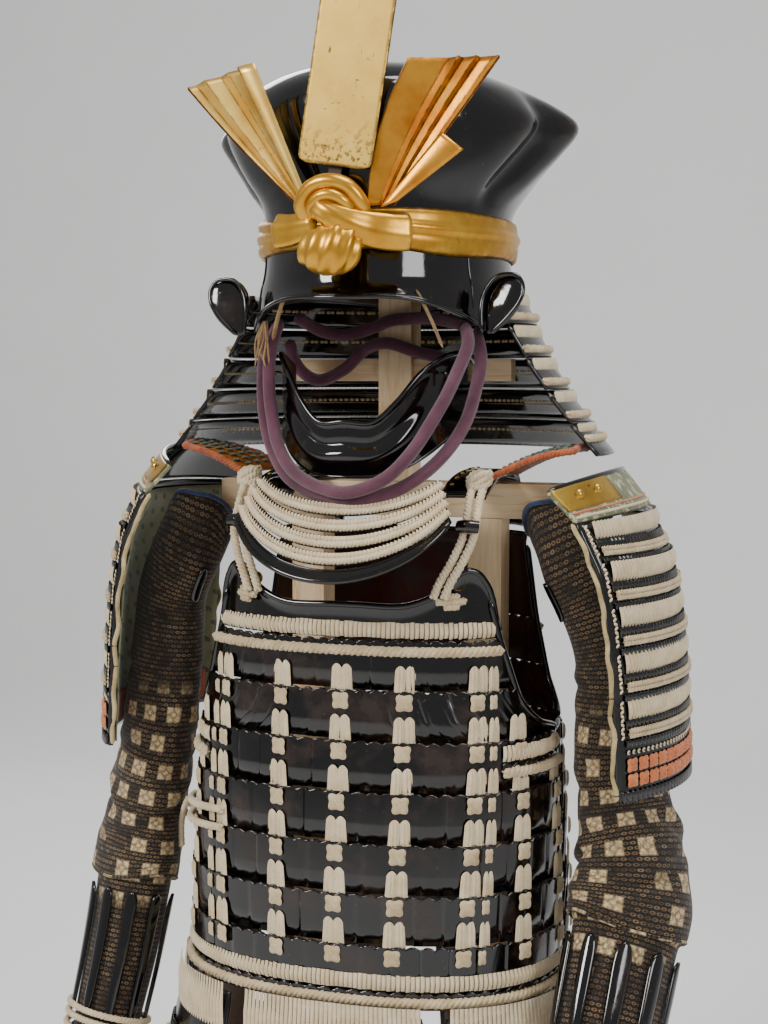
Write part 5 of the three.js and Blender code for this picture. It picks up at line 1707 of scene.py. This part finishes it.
# Creases by hand: the turn round the arm and height of the middle, its slant, length, and depth.
CREASES = {
    "left": [
        (0.6, 560, 0.5, 40, 5.0), (1.6, 530, -0.4, 46, 5.5), (2.6, 565, 0.3, 38, 4.5), (3.6, 545, -0.5, 40, 5.0),
        (4.5, 520, 0.4, 44, 5.0), (5.5, 550, -0.3, 40, 4.5), (4.0, 620, 0.3, 50, 3.0), (5.2, 660, -0.2, 60, 2.6),
        (3.3, 700, 0.2, 70, 2.6), (0.2, 640, 0.25, 50, 2.8), (2.2, 640, -0.25, 50, 2.8), (1.2, 710, 0.2, 60, 2.4),
    ],
    "right": [
        (0.4, 545, 0.4, 42, 5.0), (1.4, 560, -0.5, 40, 4.6), (2.4, 530, 0.4, 44, 5.2), (3.4, 560, 0.4, 40, 4.6),
        (4.3, 540, -0.4, 42, 5.0), (5.4, 525, 0.3, 44, 5.2), (3.8, 640, -0.3, 52, 2.8), (5.0, 620, 0.3, 50, 3.0),
        (3.0, 690, 0.2, 66, 2.4), (0.0, 650, -0.2, 54, 2.6), (2.0, 620, 0.3, 50, 2.8), (1.0, 700, -0.2, 60, 2.2),
    ],
}


def cloth_lift(hand, turn, z):
    """How far the sleeve's cloth swells and sinks from its plain form."""
    lift = 1.2 * np.sin(2 * turn + z / 37.0) + 0.9 * np.sin(3 * turn - z / 23.0 + 1.0)
    for middle, height, slant, length, depth in CREASES[hand]:
        away = np.angle(np.exp(1j * (turn - middle)))
        across = (z - height) * math.cos(slant) - away * 45 * math.sin(slant)
        along = (z - height) * math.sin(slant) + away * 45 * math.cos(slant)
        fold = bump(across, 0, 6.5) - 0.7 * bump(across, 11, 7)
        lift = lift - depth * fold * bump(along, 0, length)
    lift = lift + 4.0 * bump(z, 505, 20) * (1 + 0.3 * np.sin(2 * turn))
    hem = ease(z, 486, 478)
    return np.where(z < 484, lift * 0.35 * (1 - hem) + 0.3 * lift * hem, lift)


def make_sleeves():
    for hand, side in HANDS:
        turn = np.linspace(0, 2 * math.pi, 73)[:-1]
        upper_z = np.linspace(852, 484, 84)
        lower_z = np.linspace(500, 330, 40)
        parts = []
        for name, zs, inset in (("upper", upper_z, 0.0), ("fore", lower_z, -2.0)):
            t, z = np.meshgrid(turn, zs)
            lift = cloth_lift(hand, t, z) + inset
            if name == "upper":
                lift = lift + 2.5 * bump(z, 486, 9)
            grid = sleeve_point(hand, t, z, lift)
            if name == "upper":
                grid[..., 2] += 5 * np.sin(2 * t + 0.7) * ease(z, 510, 484)
            parts.append(shell(name, grid, BROCADE, 2.4, grid.mean(axis=(0, 1)), closed=True, inner=DARK_RED))
        for z, out in ((852.0, 0.6), (330.0, -1.0)):
            loop = route(sleeve_point(hand, turn, z + 0 * turn, out)[::6], 120, closed=True)
            parts.append(sweep("sleeve_piping", loop, 2.4, BLUE_SILK, ends="flat", sides=8))
        level = 484.0 + 0 * turn
        hem = sleeve_point(hand, turn, level, cloth_lift(hand, turn, level) + 1.5)
        hem[:, 2] += 5 * np.sin(2 * turn + 0.7)
        loop = route(hem[::6], 120, closed=True)
        parts.append(sweep("elbow_hem", loop, 2.0, BROCADE, ends="flat", sides=8))
        sleeve = joined("sleeve_cloth_" + hand, parts)
        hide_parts("sleeve_" + hand)
        make_splints(hand, side)


def make_splints(hand, side):
    """Long lacquered splints on the forearm, one on the upper arm, and the wrist's wound cord."""
    parts = []
    facing = math.radians(118) if hand == "left" else math.radians(160)
    for k in range(5):
        middle = facing - math.radians(40) * (k - 2) * 0.92
        v = np.linspace(0, 1, 40)[:, None]
        w = np.linspace(-1, 1, 11)[None, :]
        z = mix(470, 346, v) + 0 * w
        width = 7.2 * np.sqrt(np.clip(1 - (2 * v - 1) ** 10, 0.04, 1)) * mix(1.1, 0.86, v)
        turn = middle + w * width / 46
        lift = 2.2 + 2.8 * np.sqrt(np.clip(1 - w ** 2, 0, 1)) + 0 * v
        grid = sleeve_point(hand, turn, z, lift)
        core = sleeve_point(hand, np.array(0.0), np.array(410.0), -46.0)
        parts.append(shell("splint", grid, BLACK, 1.6, core))
    v = np.linspace(0, 1, 20)[:, None]
    w = np.linspace(-1, 1, 9)[None, :]
    middle = math.radians(193)
    width = 6.0 * np.sqrt(np.clip(1 - (2 * v - 1) ** 6, 0.04, 1))
    lift = 3.0 + 2.2 * (1 - w ** 2) + 0 * v
    grid = sleeve_point(hand, middle + w * width / 42, mix(818, 780, v) + 0 * w, lift)
    parts.append(shell("small_splint", grid, BLACK, 1.6, (side * 230, 0, 700)))
    joined("splints_" + hand, parts)
    coil = np.linspace(0, 2 * math.pi * 3.0, 150)
    z = 352 - 9.0 * coil / (2 * math.pi)
    wound = sleeve_point(hand, coil + 0.8, z, 5.4)
    rope("wrist_cord_" + hand, wound, 3.4, 11, SILK, 3)


# ---- Skirt ----
SKIRT = {"panels": 7, "half_angle": 23.4, "top": 416, "bottom": 172, "out": 8, "flare": 56}


def skirt_point(k, w, t, out):
    """A skirt panel: w is -1 to 1 across and t millimetres down."""
    v = t / (SKIRT["top"] - SKIRT["bottom"])
    spread = SKIRT["half_angle"] * mix(0.94, 1, v)
    reach = SKIRT["out"] + SKIRT["flare"] * v + out
    place = torso_point(k * 360 / SKIRT["panels"] + w * spread, HEM + 0 * w, reach)
    place[..., 2] = SKIRT["top"] - t
    return place


def make_skirt():
    deep = SKIRT["top"] - SKIRT["bottom"]
    for k in range(SKIRT["panels"]):
        surface = lambda u, t, out: skirt_point(k, 2 * np.asarray(u, float) - 1, t, out)
        inside = skirt_point(k, np.array(0.0), 120.0, -300.0)
        u, t = np.meshgrid(np.linspace(0, 1, 21), np.linspace(0, deep, 21))
        parts = [shell("panel", surface(u, t, 0.0), RIB_BLACK, 3.8, inside, inner=RED_BROWN)]
        rows = 5
        first = 52
        steps = across_steps(surface, 25.0, 4.3, 0.01, 0.99)
        frames = row_of(surface, steps, first / 2 - 6, 0.8, 4.0, first + 10, 0.0, 3.2)
        parts.append(copies("yoke_strands", STRAND, frames, SILK))
        pitch = (deep - first) / (rows - 1)
        for j in range(rows - 1):
            top = first + pitch * j
            ribs = ribbed_band(surface, top - 1, 0.24 * pitch, 6.0, (0.0, 1.0))
            parts.append(shell("ribs", ribs, RIB_BLACK, 1.6, inside))
            parts.append(rope("braid", line_on(surface, top + 0.38 * pitch, 2.6, 60, 0.01, 0.99), 3.8, 12,
                              SILK_DEEP, 3))
            if j < rows - 2:
                steps = across_steps(surface, top, 4.3, 0.01, 0.99)
                tall = 0.44 * pitch
                frames = row_of(surface, steps, top + 0.76 * pitch, 0.8, 4.0, tall, 0.0, 3.2)
                parts.append(copies("strands", STRAND, frames, SILK))
            else:
                dots = [frame_on(surface, u_here, top + 0.70 * pitch, 1.0, (0.8, 0.8, 1))
                        for u_here in across_steps(surface, top, 14.0, 0.03, 0.97)]
                parts.append(copies("hem_knots", CROSS, dots, ORANGE_SILK))
        for edge in (0.0, 1.0):
            rim = np.array([surface(edge, t_here, -1.5) for t_here in np.linspace(0, deep, 40)])
            parts.append(sweep("rim", rim, 2.2, BLACK, sides=8))
        parts.append(sweep("rim", line_on(surface, deep, -1.5, 40), 2.2, BLACK, sides=8))
        panel = joined(f"skirt_laced_{k + 1}", parts)
        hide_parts(f"skirt_panel_{k + 1}")


# ---- Cords ----
CHIN_CORD = [
    (-84, -46, 1048), (-87, -56, 1036), (-90, -64, 1008), (-87, -71, 975), (-81, -77, 952),
    (-72, -87, 930), (-52, -101, 907), (-22, -112, 893), (6, -118, 889), (40, -118, 901),
    (66, -107, 928), (84, -92, 962), (97, -76, 995), (104, -62, 1022), (98, -48, 1044),
]
SECOND_CORD = [
    (-98, -40, 1046), (-101, -48, 1020), (-100, -56, 985), (-94, -66, 955), (-80, -80, 925),
    (-58, -95, 900), (-20, -106, 884), (14, -110, 882), (52, -104, 893), (84, -86, 918),
    (101, -66, 948), (108, -48, 980), (108, -30, 1012), (100, -18, 1040),
]
CROWN_CORD = [
    (-80, -20, 1052), (-66, 2, 1040), (-44, 14, 1034), (-18, 19, 1040), (6, 20, 1048), (40, 16, 1050),
    (70, 4, 1046), (90, -10, 1040),
]
LOW_CORD = [
    (-96, 4, 1030), (-92, 16, 1004), (-72, 22, 990), (-46, 24, 1000), (-24, 24, 1020), (0, 22, 1026),
    (36, 22, 1016), (72, 14, 1012), (98, 4, 1030),
]
SHOULDER_CORD = [
    (115, -46, 903), (113, -62, 888), (113, -78, 866), (112, -88, 848),
    (104, -97, 826), (95, -104, 808), (90, -106, 795),
]


BROW_STRAPS = (
    ((-58, -98, 1075), (-72, -84, 1052), (-83, -72, 1028)),
    ((66, -98, 1072), (76, -84, 1045), (84, -74, 1020)),
)


def run_length(path):
    return float(np.linalg.norm(np.diff(path, axis=0), axis=1).sum()) * MM


def declare(path):
    run_length(path)


def make_chin_cords():
    """Rolled cloth cords: two strands round the mask and two behind, inside the helmet."""
    for name, points in (("chin_cord_main", CHIN_CORD), ("chin_cord_second", SECOND_CORD),
                         ("chin_cord_crown", CROWN_CORD), ("chin_cord_low", LOW_CORD)):
        path = route(points, 90)
        cord = sweep(name, path, 6.0, PURPLE, folds=3, fold_depth=0.05, twist=9.0, sides=24)
        if name == "chin_cord_main":
            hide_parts("chin_cord")
        declare(path)
    for k, line in enumerate(BROW_STRAPS):
        sweep(f"brow_strap_{k + 1}", route(line, 20), 2.2, TAN_CORD, flat=0.5, sides=8)
    frayed = []
    for k in range(9):
        turn = k * 0.7
        base = np.array([-92.0 + 1.8 * (k % 3), -72.0 - 2.0 * (k % 2), 1046.0])
        tip = base + (6 * math.sin(turn) - 4, -5 * math.cos(turn), -34 - 3 * (k % 4))
        middle = (base + tip) / 2 + (5 * math.cos(turn), -4, 2)
        frayed.append(sweep("frayed", route([base, middle, tip], 14), 0.9, TAN_CORD, sides=6))
    joined("frayed_ties", frayed)


def make_shoulder_cords():
    """Braided cords from the straps: a knot, a toggle, and two strands to the chest plate's holes."""
    for hand, side in HANDS:
        points = route([(side * x, y, z) for x, y, z in SHOULDER_CORD], 60)
        parts = []
        for k, apart in enumerate((-5.0, 5.0)):
            path = points + (apart, 0, 0)
            strand = rope(f"shoulder_strand_{hand}_{k + 1}", path, 4.2, 12, SILK, 3)
            declare(path)
            if k == 0:
                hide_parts("shoulder_cord_" + hand)
        knot_at = points[4]
        for turn in (0.0, 1.1, 2.2):
            ring = np.linspace(0, 2 * math.pi, 24)
            loop = points_of(9.5 * np.cos(ring), 5.5 * np.sin(ring) - 3, 6.5 * np.sin(ring + turn) + 2)
            loop = loop + knot_at
            parts.append(rope("knot", loop, 3.8, 11, SILK, 3))
        toggle = points[30]
        band = route([toggle + (-9, 0, 7), toggle + (0, -3, 8), toggle + (9, 0, 7)], 12)
        parts.append(sweep("toggle_band", band, 6.0, BLACK, ends="flat", sides=12))
        bead = route([toggle + (0, -1, 2), toggle + (0, -1, -9)], 12)
        swell = 8.5 * np.sqrt(np.clip(1 - np.linspace(-1, 1, 12) ** 2, 0.05, 1))
        parts.append(sweep("toggle", bead, swell, BLACK, ends="flat", sides=16))
        oval_at = torso_point(side * 33.0, 797.0, 4.0)
        out = unit(torso_point(side * 33.0, 797.0, 14.0) - oval_at)
        across = unit(np.cross(out, (0, 0, 1)))
        for row in (-5.0, 0.0, 5.0):
            here = oval_at + np.array([0, 0, row * 0.9 - 6.0])
            span = 13.5 - 0.28 * row * row
            steps = np.linspace(-span, span, 20)
            line = np.array([here + across * x + out * (3.2 - 0.012 * x * x) for x in steps])
            parts.append(rope("oval", line, 3.6, 9, SILK_DEEP, 3))
        high = np.array([0, 0, 1.0])
        rosettes = [(torso_point(side * a, 806.0, 1.6), across, high, out, 6.0) for a in (29.5, 37.0)]
        parts.append(copies("rosettes", STUD, rosettes, BRASS))
        joined("shoulder_knots_" + hand, parts)


def make_side_tie():
    """The cord that closes the cuirass on the wearer's right: two runs, a knot and a loose end."""
    angles = np.linspace(-36, -82, 24)
    z = np.linspace(586, 576, 24)
    main = torso_point(angles, z, 8.0)
    lower = torso_point(angles, z - 17, 8.0)
    turn = route([main[-1], torso_point(-84.0, 566.0, 17.0), lower[-1]], 14)
    tie = rope("side_tie_run", main, 3.8, 11, SILK, 3)
    rest = rope("side_tie_lower", lower, 3.8, 11, SILK, 3)
    rope("side_tie_bend", turn, 3.8, 11, SILK, 3)
    tail_points = ((-80.0, 572.0, 14.0), (-84.0, 556.0, 22.0), (-86.0, 536.0, 26.0), (-85.0, 518.0, 24.0))
    tail_path = route([torso_point(*point) for point in tail_points], 30)
    tail = rope("side_tie_tail", tail_path, 3.4, 10, SILK, 3)
    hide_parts("side_tie")
    for run, path, end in ((tie, main, "object"), (rest, lower, "object"), (tail, tail_path, "bare")):
        declare(path)


def make_armour():
    set_the_view()
    set_the_stage()
    make_stand()
    make_bowl()
    make_headband()
    make_knot()
    make_fans()
    make_crest()
    make_turn_backs()
    make_neck_guard()
    make_mask()
    make_throat_guard()
    make_front()
    make_back()
    make_shoulders()
    make_guards()
    make_sleeves()
    make_skirt()
    make_chin_cords()
    make_shoulder_cords()
    make_side_tie()


make_armour()
